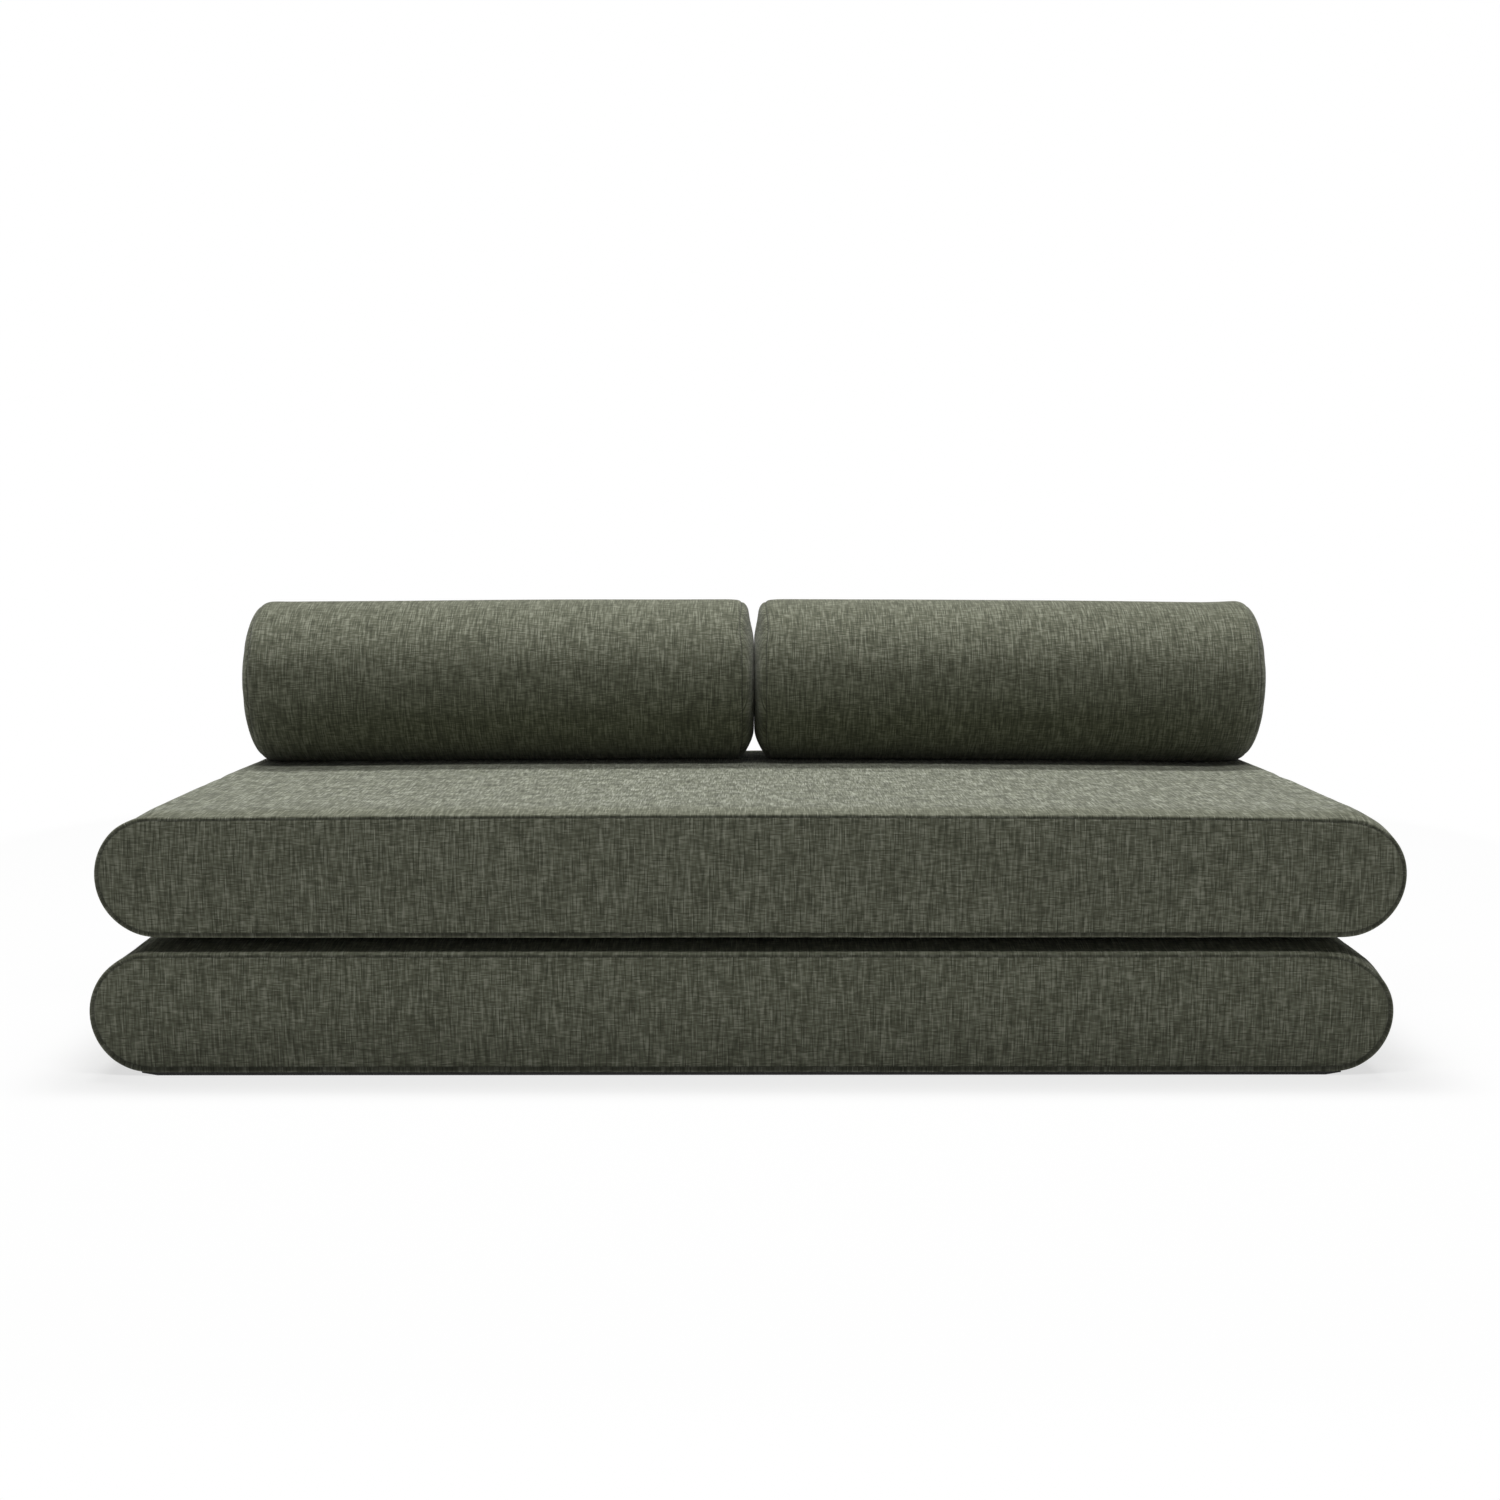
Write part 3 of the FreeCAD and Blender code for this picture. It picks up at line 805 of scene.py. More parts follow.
@dataclass
class SewnCover(ABC):
    """A padded cover: cut small, swollen by a short cloth run, refined and given its seams."""

    name: str
    body: str
    inside: tuple[str, ...]
    fill: float = 0.9
    filling: Filling = Filling()
    swell: float = 0.005  # most that the filling moves a point
    free_run: Span = (0.008, 0.06)  # from the seam to where the cloth moves freely
    groove_depth: float = 0.0017
    groove_width: float = 0.0022
    pucker_height: float = 0.0006
    pucker_reach: float = 0.016
    pucker_pitch: float = 0.03
    pucker_stretch: Triple = (1.0, 0.15, 0.2)
    loose_height: float = 0.0007  # of the unevenness of the wide faces
    loose_pitch: float = 0.24
    slot_depth: float = 0.0036  # of the zip's recess
    slot_end_gap: float = 0.0003

    @abstractmethod
    def cut(self) -> bmesh.types.BMesh:
        """The cover before it is filled."""

    @abstractmethod
    def settle(self, point: Vector) -> Vector:
        """Where a point of the filled cover comes to rest."""

    def build(self, chenille: bpy.types.Material) -> bpy.types.Object:
        """Make the cover and hang it on its body.

        Args:
            chenille: The cover cloth.

        Returns:
            The finished piece.
        """
        piece = link_piece(self.name, self.cut())
        self.inflate(piece)
        for vertex in piece.data.vertices:
            vertex.co = self.settle(vertex.co)
        self.refine(piece)
        self.sink_seams(piece)
        self.dress(piece, chenille)
        return piece

    def dress(self, piece: bpy.types.Object, chenille: bpy.types.Material) -> None:
        """Give the cover its cloth and its place among the bodies.

        Args:
            piece: The cover.
            chenille: The cover cloth.
        """
        piece.data.materials.append(chenille)
        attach(piece, self.body)
        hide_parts(*self.inside)

    def inflate(self, piece: bpy.types.Object) -> None:
        """Swell the cover with air while its seams are held.

        Args:
            piece: The cover, whose points move by no more than the swell, and less near a seam.
        """
        holds = [value.value for value in piece.data.attributes[HELD].data]
        gaps = [abs(value.value) for value in piece.data.attributes[SEAM_GAP].data]
        moves = self.filling.swell(piece, [index for index, held in enumerate(holds) if held > 0.5])
        most = 0.0
        for vertex, move, gap in zip(piece.data.vertices, moves, gaps):
            reach = max(move.length, TINY)
            cap = max(TINY, self.swell * smooth_step(gap, *self.free_run))
            kept = cap * math.tanh(reach / cap)
            vertex.co += move * (kept / reach)
            most = max(most, kept)
        LOG.info("%s swelled by up to %.1f mm", self.name, 1000.0 * most)

    def refine(self, piece: bpy.types.Object) -> None:
        """Replace the mesh of the cover by its smooth subdivision.

        Args:
            piece: The cover.
        """
        smooth = piece.modifiers.new("smooth", "SUBSURF")
        smooth.levels = 1
        smooth.render_levels = 1
        coarse = piece.data
        depsgraph = bpy.context.evaluated_depsgraph_get()
        piece.data = bpy.data.meshes.new_from_object(piece.evaluated_get(depsgraph))
        piece.modifiers.clear()
        bpy.data.meshes.remove(coarse)
        piece.data.name = self.name
        piece.data.shade_smooth()

    def sink_seams(self, piece: bpy.types.Object) -> None:
        """Draw the seams in, pucker the cloth beside them and make the wide faces slightly uneven.

        Args:
            piece: The refined cover.
        """
        gaps = [value.value for value in piece.data.attributes[SEAM_GAP].data]
        holds = [value.value for value in piece.data.attributes[HELD].data]
        stretch = Vector(self.pucker_stretch)
        moves = []
        for vertex, gap, held in zip(piece.data.vertices, gaps, holds):
            spot = vertex.co
            groove = self.groove_depth * math.exp(-((gap / self.groove_width) ** 2))
            ripple = noise.noise(spot * stretch / self.pucker_pitch)
            pucker = self.pucker_height * ripple * math.exp(-abs(gap) / self.pucker_reach)
            free = 1.0 - min(1.0, held)
            loose = self.loose_height * noise.noise(spot / self.loose_pitch) * free
            moves.append(vertex.normal * (pucker + loose - groove))
        for vertex, move in zip(piece.data.vertices, moves):
            vertex.co += move


@dataclass(frozen=True)
class StackSag:
    """How the top of the seat is pressed down, most under the outer ends of the bolsters."""

    left: float = 0.005
    right: float = 0.0055
    reach: float = 0.86  # where the drop is greatest
    end: float = 1.0  # where there is none left

    def at(self, x: float) -> float:
        """The drop at a place along the sofa."""
        drop = self.left if x < 0 else self.right
        return drop * (x / self.reach) ** 2 * (1.0 - smooth_step(abs(x), self.reach, self.end))


SAG = StackSag()


@dataclass
class MattressCover(SewnCover):
    """The cover of a mattress: a wrap round top, round ends and underside, and two flat panels."""

    cells: tuple[int, int, int] = (132, 64, 16)  # of the grid: along, deep, up
    crowding: Triple = (1.25, 1.9, 1.6)  # how strongly its lines crowd towards the edges
    corner: float = math.radians(50.0)  # half the part of an end that a side of the block makes
    end_power: int = 8  # how late a line of the block turns from flat to round
    lip: float = 0.006  # from the lower seam down to the edge of the panel
    roll: float = 0.0055  # from the upper seam up to where the wrap has turned
    turn_run: float = 0.006
    droop: float = 0.002  # how far the wrap hangs below its lower edge, just behind the seam
    droop_run: float = 0.006
    crown_run: float = 0.072
    start_share: float = 0.8  # how much of the crown is there before the filling
    rest_gap: float = 0.0006
    rest_ease: float = 0.002
    slot_half: float = 0.005
    painted_sheen_run: float = 0.11  # from the edge of a panel to where the painted sheen is full
    right_lift: float = 0.0  # how far the upper right end stands up behind the seam
    right_drop: float = 0.006  # how far its seam hangs
    right_span: Span = (0.84, 0.965)
    right_run: float = 0.035
    sags: bool = False
    rests_on_floor: bool = False

    def __post_init__(self) -> None:
        """Read the sizes of the mattress from the frame."""
        low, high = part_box(f"{self.name}_front_panel")
        wrap_low, wrap_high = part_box(f"{self.name}_cover_wrap")
        self.middle_x = (low.x + high.x) / 2
        self.half_depth = -low.y
        self.seam_low = low.z + self.lip
        self.seam_high = high.z
        self.seam_middle = (self.seam_low + self.seam_high) / 2
        self.half_straight = (high.x - low.x) / 2 - (high.z - low.z) / 2
        self.crown_low = low.z - wrap_low.z
        self.crown_high = wrap_high.z - high.z
        self.floor = wrap_low.z - (self.droop if self.rests_on_floor else 0.0)
        self.ceiling = wrap_high.z - self.rest_gap
        self.radius = (self.seam_high - self.seam_low) / 2
        self.half_run = self.half_straight + self.radius * (math.pi / 2 - self.corner)

    def crowded(self, block: Vector) -> Triple:
        """Crowd the grid lines of the block towards the seams.

        Args:
            block: A point of the block, from -1 to 1 along each axis.

        Returns:
            The moved coordinates.
        """
        return tuple(
            math.copysign(1.0 - (1.0 - min(1.0, abs(value))) ** power, value)
            for value, power in zip(block, self.crowding)
        )

    def section(self, y: float) -> Span:
        """Lowest and highest line of the mattress at a depth.

        Args:
            y: Place from front to rear.

        Returns:
            The heights of the underside and of the top.
        """
        inward = self.half_depth - abs(y)
        turn = math.sqrt(1.0 - (1.0 - min(1.0, inward / self.turn_run)) ** 2)
        crown = self.start_share * (1.0 - math.exp(-inward / self.crown_run))
        hang = self.droop * math.sin(math.pi * min(1.0, inward / self.droop_run))
        low = self.seam_low - self.lip * turn - hang - self.crown_low * crown
        high = self.seam_high + self.roll * turn + (self.crown_high - self.roll) * crown
        return low, high

    def shaped(self, block: Vector) -> Vector:
        """The point of the cover that a point of the starting block becomes.

        Args:
            block: A point on the surface of the block, from -1 to 1 along each axis.

        Returns:
            The point of the cover before it is filled.
        """
        along, deep, up = self.crowded(block)
        y = deep * self.half_depth
        low, high = self.section(y)
        radius, middle = (high - low) / 2, (high + low) / 2
        run = abs(along) * self.half_run
        turn = max(0.0, run - self.half_straight) / self.radius
        end_share = abs(along) ** self.end_power
        angle = up * self.corner
        reach = min(run, self.half_straight) + radius * math.sin(turn)
        reach += end_share * radius * (math.cos(angle) - math.cos(self.corner))
        rise = (1.0 - end_share) * up + end_share * math.sin(angle) / math.sin(self.corner)
        height = middle + radius * math.cos(turn) * rise
        return Vector((self.middle_x + math.copysign(reach, along), y, height))

    def thread_place(self, side: Side, block: Vector, point: Vector) -> Span:
        """Where a point of the cover lies on its cloth, in metres.

        Args:
            side: The side of the block that the face comes from.
            block: The point on the block.
            point: The point on the cover.

        Returns:
            The place along and across the cloth.
        """
        along, _, up = self.crowded(block)
        if side in (Side.FRONT, Side.REAR):
            return point.x, point.z
        round_run = self.radius * self.corner
        if side is Side.TOP:
            return along * self.half_run, point.y
        if side is Side.UNDER:
            return 2.0 * (self.half_run + round_run) - along * self.half_run, point.y
        return math.copysign(self.half_run + round_run * (1.0 - up), along), point.y

    def cut(self) -> bmesh.types.BMesh:
        """Cut the cover from a block, with its seams, cloth map and zip slot.

        Returns:
            The cover before it is filled.
        """
        bm = self.gridded_block()
        marks = PointMarks.on(bm)
        weave = bm.loops.layers.uv.new(WEAVE_MAP)
        sides = {face: Side.of(face.normal) for face in bm.faces}
        blocks = {vertex: vertex.co.copy() for vertex in bm.verts}
        for vertex, block in blocks.items():
            vertex.co = self.shaped(block)
            self.mark(vertex, block, marks)
        for face, side in sides.items():
            for loop in face.loops:
                loop[weave].uv = self.thread_place(side, blocks[loop.vert], loop.vert.co)
        self.cut_slot(bm, [face for face, side in sides.items() if side is Side.REAR])
        return bm

    def gridded_block(self) -> bmesh.types.BMesh:
        """A block from -1 to 1 along each axis, divided into a grid.

        Returns:
            The block.
        """
        bm = bmesh.new()
        bmesh.ops.create_cube(bm, size=2.0)
        for axis, cells in enumerate(self.cells):
            whole = [edge for edge in bm.edges
                     if abs(edge.verts[0].co[axis] - edge.verts[1].co[axis]) > 1.0]
            bmesh.ops.subdivide_edges(bm, edges=whole, cuts=cells - 1, use_grid_fill=True)
        bm.normal_update()
        return bm

    def mark(self, vertex: bmesh.types.BMVert, block: Vector, marks: PointMarks) -> None:
        """Say how a point lies on the cover.

        Args:
            vertex: The point, in its place.
            block: The point of the block that it comes from.
            marks: The layers that it is written to.
        """
        sewn = abs(block.y) == 1.0 and max(abs(block.x), abs(block.z)) == 1.0
        resting = self.rests_on_floor and block.z == -1.0
        # Painted sheen: from the front and rear panels inwards, the wrap is lightened over its top, ends and
        # underside.
        laid = smooth_step(self.half_depth - abs(vertex.co.y), 0.0, self.painted_sheen_run)
        painted_sheen = 1.0 + (FULL_PAINTED_SHEEN - 1.0) * laid
        marks.write(vertex, self.seam_gap(block, vertex.co), sewn or resting, painted_sheen)

    def seam_gap(self, block: Vector, point: Vector) -> float:
        """Distance of a point from the seam.

        Args:
            block: The point of the block that it comes from.
            point: The point on the cover.

        Returns:
            The distance, above 0 on the wrap and below 0 on a panel.
        """
        if abs(block.y) < 1.0:
            return self.half_depth - abs(point.y)
        past = max(0.0, abs(point.x - self.middle_x) - self.half_straight)
        return math.hypot(past, point.z - self.seam_middle) - self.radius

    def cut_slot(self, bm: bmesh.types.BMesh, panel: list[bmesh.types.BMFace]) -> None:
        """Cut the recess of the zip into the rear panel.

        Args:
            bm: The cover.
            panel: The faces of the rear panel.
        """
        low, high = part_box(f"{self.name}_zip_stops")
        height = (low.z + high.z) / 2
        ends = (low.x - self.slot_end_gap, high.x + self.slot_end_gap)
        rims = (height - self.slot_half, height + self.slot_half)
        cuts = [((place, 0, 0), (1, 0, 0)) for place in ends]
        cuts += [((0, 0, place), (0, 0, 1)) for place in rims]
        patch = panel
        for place, normal in cuts:
            corners = dict.fromkeys(vertex for face in patch for vertex in face.verts)
            edges = dict.fromkeys(edge for face in patch for edge in face.edges)
            made = bmesh.ops.bisect_plane(bm, geom=[*corners, *edges, *patch], dist=WELD,
                                          plane_co=place, plane_no=normal)
            patch = [part for part in made["geom"] if isinstance(part, bmesh.types.BMFace)]
        slot = []
        for face in patch:
            spot = face.calc_center_median()
            if ends[0] < spot.x < ends[1] and rims[0] < spot.z < rims[1]:
                slot.append(face)
        recess(bm, slot, Vector((0.0, -self.slot_depth, 0.0)))

    def settle(self, point: Vector) -> Vector:
        """Keep the cover off its neighbours, and drop its top to the ends and its right-hand seam.

        Args:
            point: A point of the filled cover.

        Returns:
            Where the point comes to rest.
        """
        upper = smooth_step(point.z, self.seam_middle, self.seam_high)
        inner = smooth_step(self.half_depth - abs(point.y), 0.0, self.right_run)
        shift = self.right_lift * inner - self.right_drop * (1.0 - inner)
        height = point.z + shift * upper * smooth_step(point.x, *self.right_span)
        height = eased(height, self.floor, self.ceiling, self.rest_ease)
        if self.sags:
            height -= SAG.at(point.x) * upper
        return Vector((point.x, point.y, height))


@dataclass(frozen=True)
class DomedEnd:
    """The rounding of one end of a bolster, from the flat of its disc to the sleeve."""

    flat_radius: float
    squareness: float  # 2 for an ellipse, more for a squarer shoulder
    depth: float = 0.039  # from the flat of the disc back to the sleeve
    rings: int = 5
    slope_rings: int = 4
    seam_steps: tuple[float, ...] = (  # rings beside the seam, in degrees from it
        -30.0, -20.0, -12.0, -7.0, -3.6, -1.8, 0.0, 1.8, 3.6, 5.6, 9.0, 16.0)

    def seam_angle(self, back: float) -> float:
        """The angle of the seam, which lies a distance back from the flat of the disc."""
        return math.acos((1.0 - back / self.depth) ** (self.squareness / 2.0))

    def point(self, angle: float, half: float, radius: float) -> Span:
        """A point of the rounding.

        Args:
            angle: 0 where it meets the flat of the disc, a quarter turn at the sleeve.
            half: Half the length of the bolster.
            radius: Of the sleeve.

        Returns:
            The place from the middle along the axis, and the radius there.
        """
        power = 2.0 / self.squareness
        along = half - self.depth * (1.0 - max(0.0, math.cos(angle)) ** power)
        return along, self.flat_radius + (radius - self.flat_radius) * math.sin(angle) ** power

    def outline(self, half: float, radius: float, back: float) -> list[Span]:
        """Half outline of the end, from its middle to the sleeve, with lines crowded at the seam.

        Args:
            half: Half the length of the bolster.
            radius: Of the sleeve.
            back: How far the seam lies back from the flat of the disc.

        Returns:
            The places along the axis, with their radii.
        """
        disc = [(half, self.flat_radius * ring / self.rings) for ring in range(self.rings)]
        seam = self.seam_angle(back)
        angles = [seam + math.radians(step) for step in self.seam_steps] + [math.pi / 2]
        turned = [self.point(angle, half, radius) for angle in angles]
        inward, outward = turned[0][0] - half, turned[0][1] - self.flat_radius
        shares = [ring / self.slope_rings for ring in range(self.slope_rings)]
        slope = [(half + inward * share, self.flat_radius + outward * share) for share in shares]
        return disc + slope + turned


@dataclass
class BolsterCover(SewnCover):
    """The cover of a bolster: a round sleeve and two domed end discs, with a zip at the rear."""

    groove_depth: float = 0.0015
    groove_width: float = 0.0026
    steps: int = 96  # round the axis
    sleeve_cells: int = 44  # along the zip slot
    margin_shares: Span = (0.5, 0.0)  # lines between the rounding and the slot
    outer_end: DomedEnd = DomedEnd(0.088, 2.0)
    inner_end: DomedEnd = DomedEnd(0.0755, 3.2, 0.05)
    inner: int = 1  # the side of the inner end: 1 right, -1 left
    lean: float = 0.0  # how far the upper half of the inner end leans back, for its height
    lean_reach: float = 0.12
    hollow: float = 0.0035  # how far the inner end falls back above its middle
    hollow_start: Span = (0.065, 0.095)
    hollow_end: Span = (0.11, 0.14)
    tuck: float = 0.006  # how far it is drawn in just above the seat
    tuck_span: Span = (0.105, 0.14)
    touch: float = 0.0001  # how far it may pass its own end
    contact_sink: float = 0.003  # how much of the underside is pressed flat
    zip_hold: Span = (0.5, 0.94)  # from where to where the rear stays up, where the zip is

    def __post_init__(self) -> None:
        """Read the sizes of the bolster from the frame."""
        low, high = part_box(f"{self.name}_cover")
        ends = [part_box(f"{self.name}_{end}_end") for end in ("outer", "inner")]
        low_x = min(box[0].x for box in ends)
        high_x = max(box[1].x for box in ends)
        self.middle = Vector(((low_x + high_x) / 2, (low.y + high.y) / 2, (low.z + high.z) / 2))
        self.radius = (high.z - low.z) / 2
        self.half = (high_x - low_x) / 2
        self.seam_x = (high.x - low.x) / 2
        stop_low, stop_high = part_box(f"{self.name}_zip_stops")
        self.slot_reach = (stop_high.x - stop_low.x) / 2 + self.slot_end_gap
        self.half_step = math.pi / self.steps

    def end_at(self, x: float) -> DomedEnd:
        """The end that a place along the axis lies towards."""
        return self.inner_end if self.inner * x > 0 else self.outer_end

    def seam_radius(self, x: float) -> float:
        """The radius of the seam at the end that a place lies towards."""
        end = self.end_at(x)
        return end.point(end.seam_angle(self.half - self.seam_x), self.half, self.radius)[1]

    def profile(self) -> list[Span]:
        """Half outline of the bolster, from one pole to the other.

        Returns:
            The places along the axis, with their radii.
        """
        right, left = (self.end_outline(self.end_at(side)) for side in (1, -1))
        cell = 2.0 * self.slot_reach / self.sleeve_cells
        sleeve = [(self.slot_reach - cell * step, self.radius)
                  for step in range(1, self.sleeve_cells)]
        return right + sleeve + [(-along, radius) for along, radius in reversed(left)]

    def end_outline(self, end: DomedEnd) -> list[Span]:
        """Half outline of one end, from its middle to the end of the zip slot.

        Args:
            end: The rounding of the end.

        Returns:
            The places from the middle along the axis, with their radii.
        """
        margin = self.half - end.depth - self.slot_reach
        lines = [(self.slot_reach + margin * share, self.radius) for share in self.margin_shares]
        return end.outline(self.half, self.radius, self.half - self.seam_x) + lines

    def cut(self) -> bmesh.types.BMesh:
        """Spin the outline round the axis, with the seams, the cloth map and the zip slot.

        Returns:
            The cover before it is filled.
        """
        bm = self.spun()
        marks = PointMarks.on(bm)
        weave = bm.loops.layers.uv.new(WEAVE_MAP)
        for vertex in bm.verts:
            spot = vertex.co - self.middle
            out = abs(spot.x) - self.seam_x
            gap = math.hypot(out, math.hypot(spot.y, spot.z) - self.seam_radius(spot.x))
            marks.write(vertex, -gap if out > 0 else gap, gap < ON_SEAM, 1.0)
        for face in bm.faces:
            self.map_cloth(face, weave)
        recess(bm, self.slot_faces(bm), Vector((0.0, -self.slot_depth, 0.0)))
        return bm

    def spun(self) -> bmesh.types.BMesh:
        """The outline turned round the axis, with a row of faces level with it at the rear.

        Returns:
            The closed round form.
        """
        bm = bmesh.new()
        across = Vector((0.0, math.cos(self.half_step), -math.sin(self.half_step)))
        points = [bm.verts.new(self.middle + Vector((along, 0, 0)) + across * radius)
                  for along, radius in self.profile()]
        lines = [bm.edges.new(pair) for pair in zip(points, points[1:])]
        bmesh.ops.spin(bm, geom=points + lines, cent=self.middle, axis=(1, 0, 0), dvec=(0, 0, 0),
                       angle=math.tau, steps=self.steps, use_merge=True)
        bmesh.ops.remove_doubles(bm, verts=bm.verts[:], dist=WELD)
        bmesh.ops.recalc_face_normals(bm, faces=bm.faces[:])
        return bm

    def slot_faces(self, bm: bmesh.types.BMesh) -> list[bmesh.types.BMFace]:
        """The row of faces at the rear that the zip lies in.

        Args:
            bm: The round form.

        Returns:
            The faces.
        """
        half_height = self.radius * math.sin(self.half_step) / 2
        slot = []
        for face in bm.faces:
            spot = face.calc_center_median() - self.middle
            if spot.y > 0 and abs(spot.z) < half_height and abs(spot.x) < self.slot_reach:
                slot.append(face)
        return slot

    def map_cloth(self, face: bmesh.types.BMFace, weave: bmesh.types.BMLayerItem) -> None:
        """Lay the cloth on a face: round the axis on the sleeve, flat on an end disc.

        Args:
            face: The face.
            weave: The map that it is written to.
        """
        centre = face.calc_center_median() - self.middle
        disc = abs(centre.x) > self.seam_x
        middle_angle = math.atan2(centre.z, -centre.y)
        for loop in face.loops:
            spot = loop.vert.co - self.middle
            if disc:
                loop[weave].uv = (spot.y, spot.z)
                continue
            angle = math.atan2(spot.z, -spot.y)
            angle += math.tau * round((middle_angle - angle) / math.tau)
            loop[weave].uv = (loop.vert.co.x, angle * self.radius)

    def fall_back(self, height: float) -> float:
        """How far the inner end lies back at a height from the axis.

        Args:
            height: The height, above 0 over the axis.

        Returns:
            The distance from where the filling would push it.
        """
        hollow = smooth_step(height, *self.hollow_start) - smooth_step(height, *self.hollow_end)
        tuck = smooth_step(-height, *self.tuck_span)
        return self.lean * max(0.0, height) + self.tuck * tuck + self.hollow * hollow

    def settle(self, point: Vector) -> Vector:
        """Flatten the underside on the seat, keep the ends apart and follow the drop of the seat.

        Args:
            point: A point of the filled cover.

        Returns:
            Where the point comes to rest.
        """
        spot = point - self.middle
        inward = self.inner * spot.x
        share = smooth_step(inward, self.half - self.lean_reach, self.half)
        inward -= self.fall_back(spot.z) * share
        along = self.inner * min(self.half + self.touch, max(-self.half, inward))
        height = spot.z
        if height < 0:
            height = max(-self.radius, height * (1.0 + self.contact_sink / self.radius))
        rearward = spot.y / max(WELD, math.hypot(spot.y, spot.z))
        height -= SAG.at(point.x) * (1.0 - smooth_step(rearward, *self.zip_hold))
        return self.middle + Vector((along, spot.y, height))


@dataclass
class HingeStrip:
    """The webbing sewn along the rear edges of both mattresses, which bends with the fold."""

    cells: tuple[int, int] = (120, 44)
    bend_reach: float = 0.0135  # from the fold to where the strip stays straight
    proud: float = 0.0006

    def __post_init__(self) -> None:
        """Read the sizes of the strip from the frame."""
        self.low, lap_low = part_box("hinge_strip_lower")
        lap_high, self.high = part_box("hinge_strip_upper")
        self.fold = (lap_low.z + lap_high.z) / 2
        self.width = self.high.x - self.low.x
        self.length = self.high.z - self.low.z

    def build(self, webbing: bpy.types.Material) -> bpy.types.Object:
        """Make the strip in one length and bend it between the two mattresses.

        Args:
            webbing: Its cloth.

        Returns:
            The finished piece.
        """
        strip = link_piece("hinge_strip", self.cut())
        self.dress(strip, webbing)
        return strip

    def dress(self, strip: bpy.types.Object, webbing: bpy.types.Material) -> None:
        """Give the strip its cloth and its place between the bodies.

        Args:
            strip: The strip.
            webbing: Its cloth.
        """
        strip.data.materials.append(webbing)
        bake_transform(strip, "base", "seat", start=(0.0, self.low.y, self.fold - self.bend_reach),
                 end=(0.0, self.low.y, self.fold + self.bend_reach))
        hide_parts("hinge_strip_lower", "hinge_strip_upper")

    def cut(self) -> bmesh.types.BMesh:
        """The flat strip with its thickness and its cloth map.

        Returns:
            The strip, upright at the rear of the mattresses.
        """
        bm = bmesh.new()
        bmesh.ops.create_grid(bm, x_segments=self.cells[0], y_segments=self.cells[1], size=0.5)
        for vertex in bm.verts:
            vertex.co = Vector((vertex.co.x * self.width, 0.0, vertex.co.y * self.length))
        middle = (self.low + self.high) / 2
        middle.y = self.high.y + self.proud
        bmesh.ops.translate(bm, verts=bm.verts[:], vec=middle)
        bmesh.ops.reverse_faces(bm, faces=[face for face in bm.faces if face.normal.y < 0])
        bmesh.ops.solidify(bm, geom=bm.faces[:], thickness=self.high.y - self.low.y)
        bmesh.ops.recalc_face_normals(bm, faces=bm.faces[:])
        weave = bm.loops.layers.uv.new(WEAVE_MAP)
        for face in bm.faces:
            for loop in face.loops:
                loop[weave].uv = (loop.vert.co.x, loop.vert.co.z - middle.z)
        return bm


@dataclass
class SmallGoods:
    """The zips and the non-slip sheet, which keep their own shapes and get their finishes."""

    covers: tuple[str, ...] = ("base", "seat", "bolster_left", "bolster_right")

    def dress(self) -> None:
        """Give each carried-over piece its finish."""
        metal = ZIP_METAL.material()
        finishes = {
            "zip_tape": ZIP_TAPE.material(),
            "zip_coil": ZIP_COIL.material(),
            "zip_stops": metal,
            "zip_slider": metal,
        }
        for cover in self.covers:
            for part, material in finishes.items():
                self.paint(f"{cover}_{part}", material)
        self.paint("base_grip_sheet", GRIP_RUBBER.material())

    def paint(self, node: str, material: bpy.types.Material) -> None:
        """Replace the materials of a carried-over piece.

        Args:
            node: Its name.
            material: What it gets.
        """
        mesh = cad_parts[node].data
        mesh.materials.clear()
        mesh.materials.append(material)


@dataclass(frozen=True)
class SoftLight:
    """A wide soft box that hangs over the sofa."""

    name: str
    place: Triple
    size: Span
    power: float
    target: Triple = (0.0, -0.1, 0.3)

    def hang(self) -> None:
        """Hang the light and turn it to the sofa."""
        data = bpy.data.lights.new(self.name, "AREA")
        data.shape = "RECTANGLE"
        data.size, data.size_y = self.size
        data.energy = self.power
        light = bpy.data.objects.new(self.name, data)
        light.location = self.place
        aim = Vector(self.target) - Vector(self.place)
        light.rotation_euler = aim.to_track_quat("-Z", "Y").to_euler()
        bpy.context.scene.collection.objects.link(light)


LIGHTS = (
    SoftLight("rear_box", (0.0, 1.0, 5.5), (5.0, 0.8), 208.0),
    SoftLight("front_box", (0.0, -1.9, 5.5), (5.0, 0.9), 132.0),
)


def seen_rays(tree: bpy.types.NodeTree) -> Socket:
    """A value that is 1 for what is seen, straight, mirrored or through glass, and 0 for light.

    Args:
        tree: The nodes that the value is made in.

    Returns:
        The value.
    """
    path = tree.nodes.new("ShaderNodeLightPath")
    seen = path.outputs["Is Camera Ray"]
    for ray in ("Is Glossy Ray", "Is Transmission Ray"):
        either = tree.nodes.new("ShaderNodeMath")
        either.operation = "MAXIMUM"
        tree.links.new(seen, either.inputs[0])
        tree.links.new(path.outputs[ray], either.inputs[1])
        seen = either.outputs["Value"]
    return seen


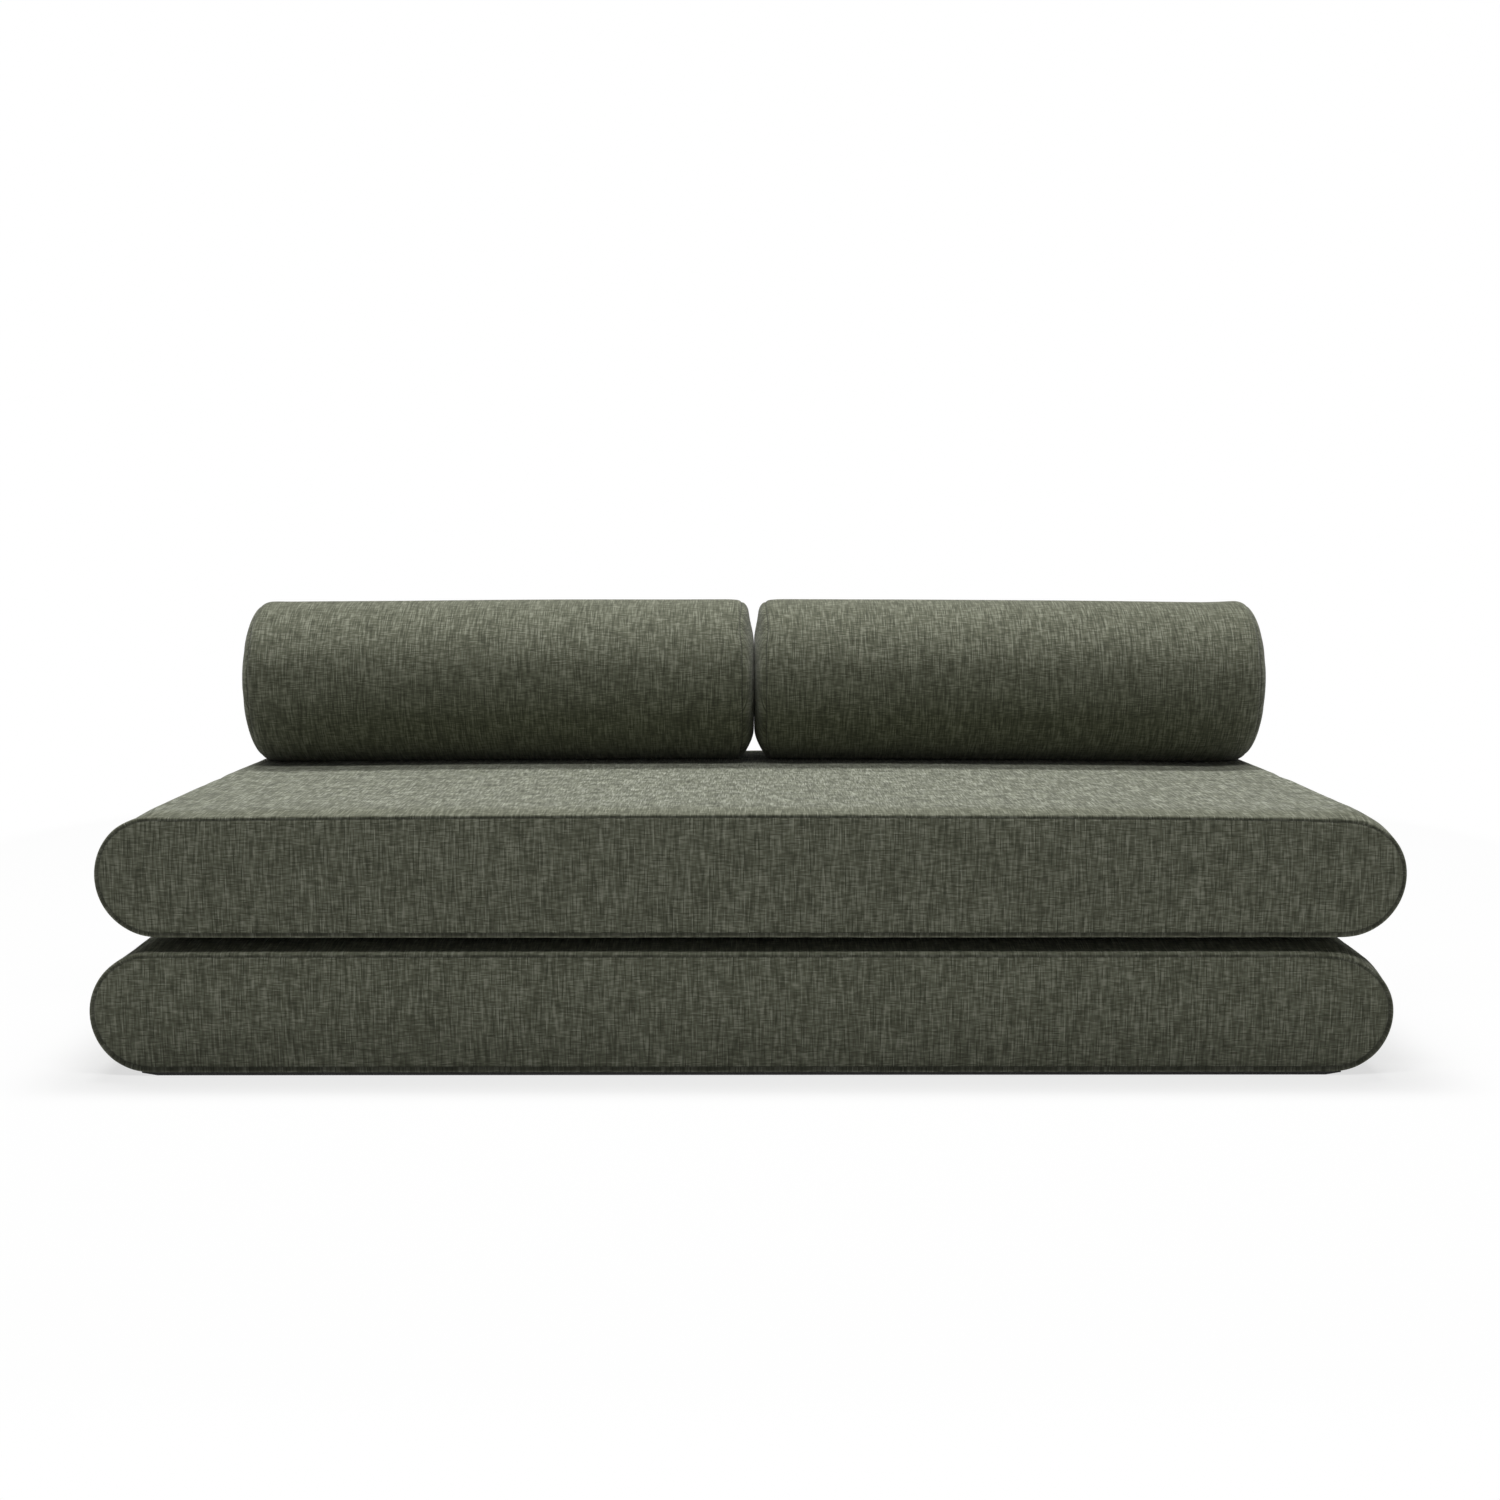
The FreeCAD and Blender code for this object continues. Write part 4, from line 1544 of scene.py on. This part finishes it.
@dataclass
class Studio:
    """A pale floor that runs out into white, the weak light of the room, and the camera."""

    camera_place: Triple = (-0.00135, -3.233, 0.809)
    pitch: float = math.radians(6.21)
    yaw: float = math.radians(-0.14)
    focal_pixels: float = 1849.25
    sensor: float = 36.0  # millimetres
    floor_side: float = 40.0
    floor_colour: Colour = (0.66, 0.66, 0.66)
    floor_roughness: float = 0.9
    footprint_middle: Triple = (0.0, 0.615, 0.0)  # of the sofa and the opened bed
    footprint: Triple = (1.0, 1.065, 0.0)  # half its size
    shadow_run: Span = (0.02, 0.16)  # from the footprint out, where the shadow fades
    shadow_white: Span = (0.68, 0.94)  # how much of the floor is white over that run
    white_run: Span = (0.2, 1.2)  # where it goes over to all white
    sky: float = 0.04  # light of the room on the object

    def build(self) -> None:
        """Set the stage."""
        bpy.context.scene.view_settings.view_transform = "Standard"
        self.set_camera()
        self.set_sky()
        self.lay_floor()

    def set_camera(self) -> None:
        """Stand the camera where the photograph was taken from."""
        data = bpy.data.cameras.new("camera")
        data.sensor_width = self.sensor
        data.lens = self.focal_pixels / IMAGE_SIDE * self.sensor
        camera = bpy.data.objects.new("camera", data)
        camera.location = self.camera_place
        camera.rotation_euler = (math.pi / 2 - self.pitch, 0.0, self.yaw)
        bpy.context.scene.collection.objects.link(camera)
        bpy.context.scene.camera = camera

    def set_sky(self) -> None:
        """White all round for the camera, and a weak even light for the object."""
        world = bpy.data.worlds.new("surround")
        bpy.context.scene.world = world
        world.use_nodes = True
        tree = world.node_tree
        background = tree.nodes["Background"]
        background.inputs["Color"].default_value = (*WHITE, 1.0)
        strength = tree.nodes.new("ShaderNodeMapRange")
        strength.inputs["To Min"].default_value = self.sky
        strength.inputs["To Max"].default_value = 1.0
        tree.links.new(seen_rays(tree), strength.inputs["Value"])
        tree.links.new(strength.outputs["Result"], background.inputs["Strength"])

    def lay_floor(self) -> None:
        """Lay the floor, which keeps the shadow near the sofa and is white further off."""
        bm = bmesh.new()
        bmesh.ops.create_grid(bm, x_segments=1, y_segments=1, size=self.floor_side / 2)
        floor = link_piece("floor", bm)
        shader = Shader("floor", self.floor_roughness)
        shader.set(Base_Color=(*self.floor_colour, 1.0), Specular_IOR_Level=0.0)
        distance = self.distance(shader)
        near = shader.ranged(distance, self.shadow_run, self.shadow_white)
        far = shader.maths("MAXIMUM", near, shader.ranged(distance, self.white_run, (0.0, 1.0)))
        pale = shader.node("ShaderNodeBsdfDiffuse")
        pale.inputs["Color"].default_value = (*WHITE, 1.0)
        white = shader.node("ShaderNodeEmission")
        shown = shader.layered(pale.outputs["BSDF"], white.outputs["Emission"], far)
        mixed = shader.layered(shader.surface.outputs["BSDF"], shown, seen_rays(shader.tree))
        shader.feed(shader.output.inputs["Surface"], mixed)
        floor.data.materials.append(shader.material)

    def distance(self, shader: Shader) -> Socket:
        """Distance of a point of the floor from the footprint of the sofa.

        Args:
            shader: The material of the floor.

        Returns:
            The distance in metres, 0 inside the footprint.
        """
        past = shader.place()
        steps = (("SUBTRACT", self.footprint_middle), ("ABSOLUTE", None),
                 ("SUBTRACT", self.footprint), ("MAXIMUM", (0.0, 0.0, 0.0)))
        for operation, by in steps:
            step = shader.node("ShaderNodeVectorMath", operation=operation)
            shader.feed(step.inputs[0], past)
            if by is not None:
                step.inputs[1].default_value = by
            past = step.outputs["Vector"]
        length = shader.node("ShaderNodeVectorMath", operation="LENGTH")
        shader.feed(length.inputs[0], past)
        return length.outputs["Value"]


def mattress_nodes(name: str, *layers: str) -> tuple[str, ...]:
    """The nodes that the cover of a mattress stands for."""
    parts = ("wadding", "cover_wrap", "front_panel", "rear_panel", *layers)
    return tuple(f"{name}_{part}" for part in parts)


def bolster_nodes(name: str) -> tuple[str, ...]:
    """The nodes that the cover of a bolster stands for."""
    parts = ("foam_core", "wadding", "cover", "outer_end", "inner_end")
    return tuple(f"{name}_{part}" for part in parts)


def sewn_covers() -> list[SewnCover]:
    """The four covers, from the floor up.

    Returns:
        The covers, ready to be built.
    """
    return [
        MattressCover("base", "base", mattress_nodes("base", "foam_core", "comfort_foam"),
                      rests_on_floor=True, droop=0.0058, right_lift=0.004),
        MattressCover("seat", "seat",
                      mattress_nodes("seat", "comfort_under", "foam_core", "comfort_top"),
                      sags=True, right_lift=0.003),
        BolsterCover("bolster_left", "left_bolster", bolster_nodes("bolster_left"), lean=0.014),
        BolsterCover("bolster_right", "right_bolster", bolster_nodes("bolster_right"), inner=-1),
    ]


def main() -> None:
    """Build every piece in order and report it."""
    logging.basicConfig(level=logging.INFO, format="%(name)s: %(message)s")
    Studio().build()
    for light in LIGHTS:
        light.hang()
    chenille = Chenille().material()
    pieces = [cover.build(chenille) for cover in sewn_covers()]
    pieces.append(HingeStrip().build(StitchedWebbing().material()))
    SmallGoods().dress()
    for piece in pieces:
        LOG.info("%s has %d faces", piece.name, len(piece.data.polygons))


if __name__ == "__main__":
    main()
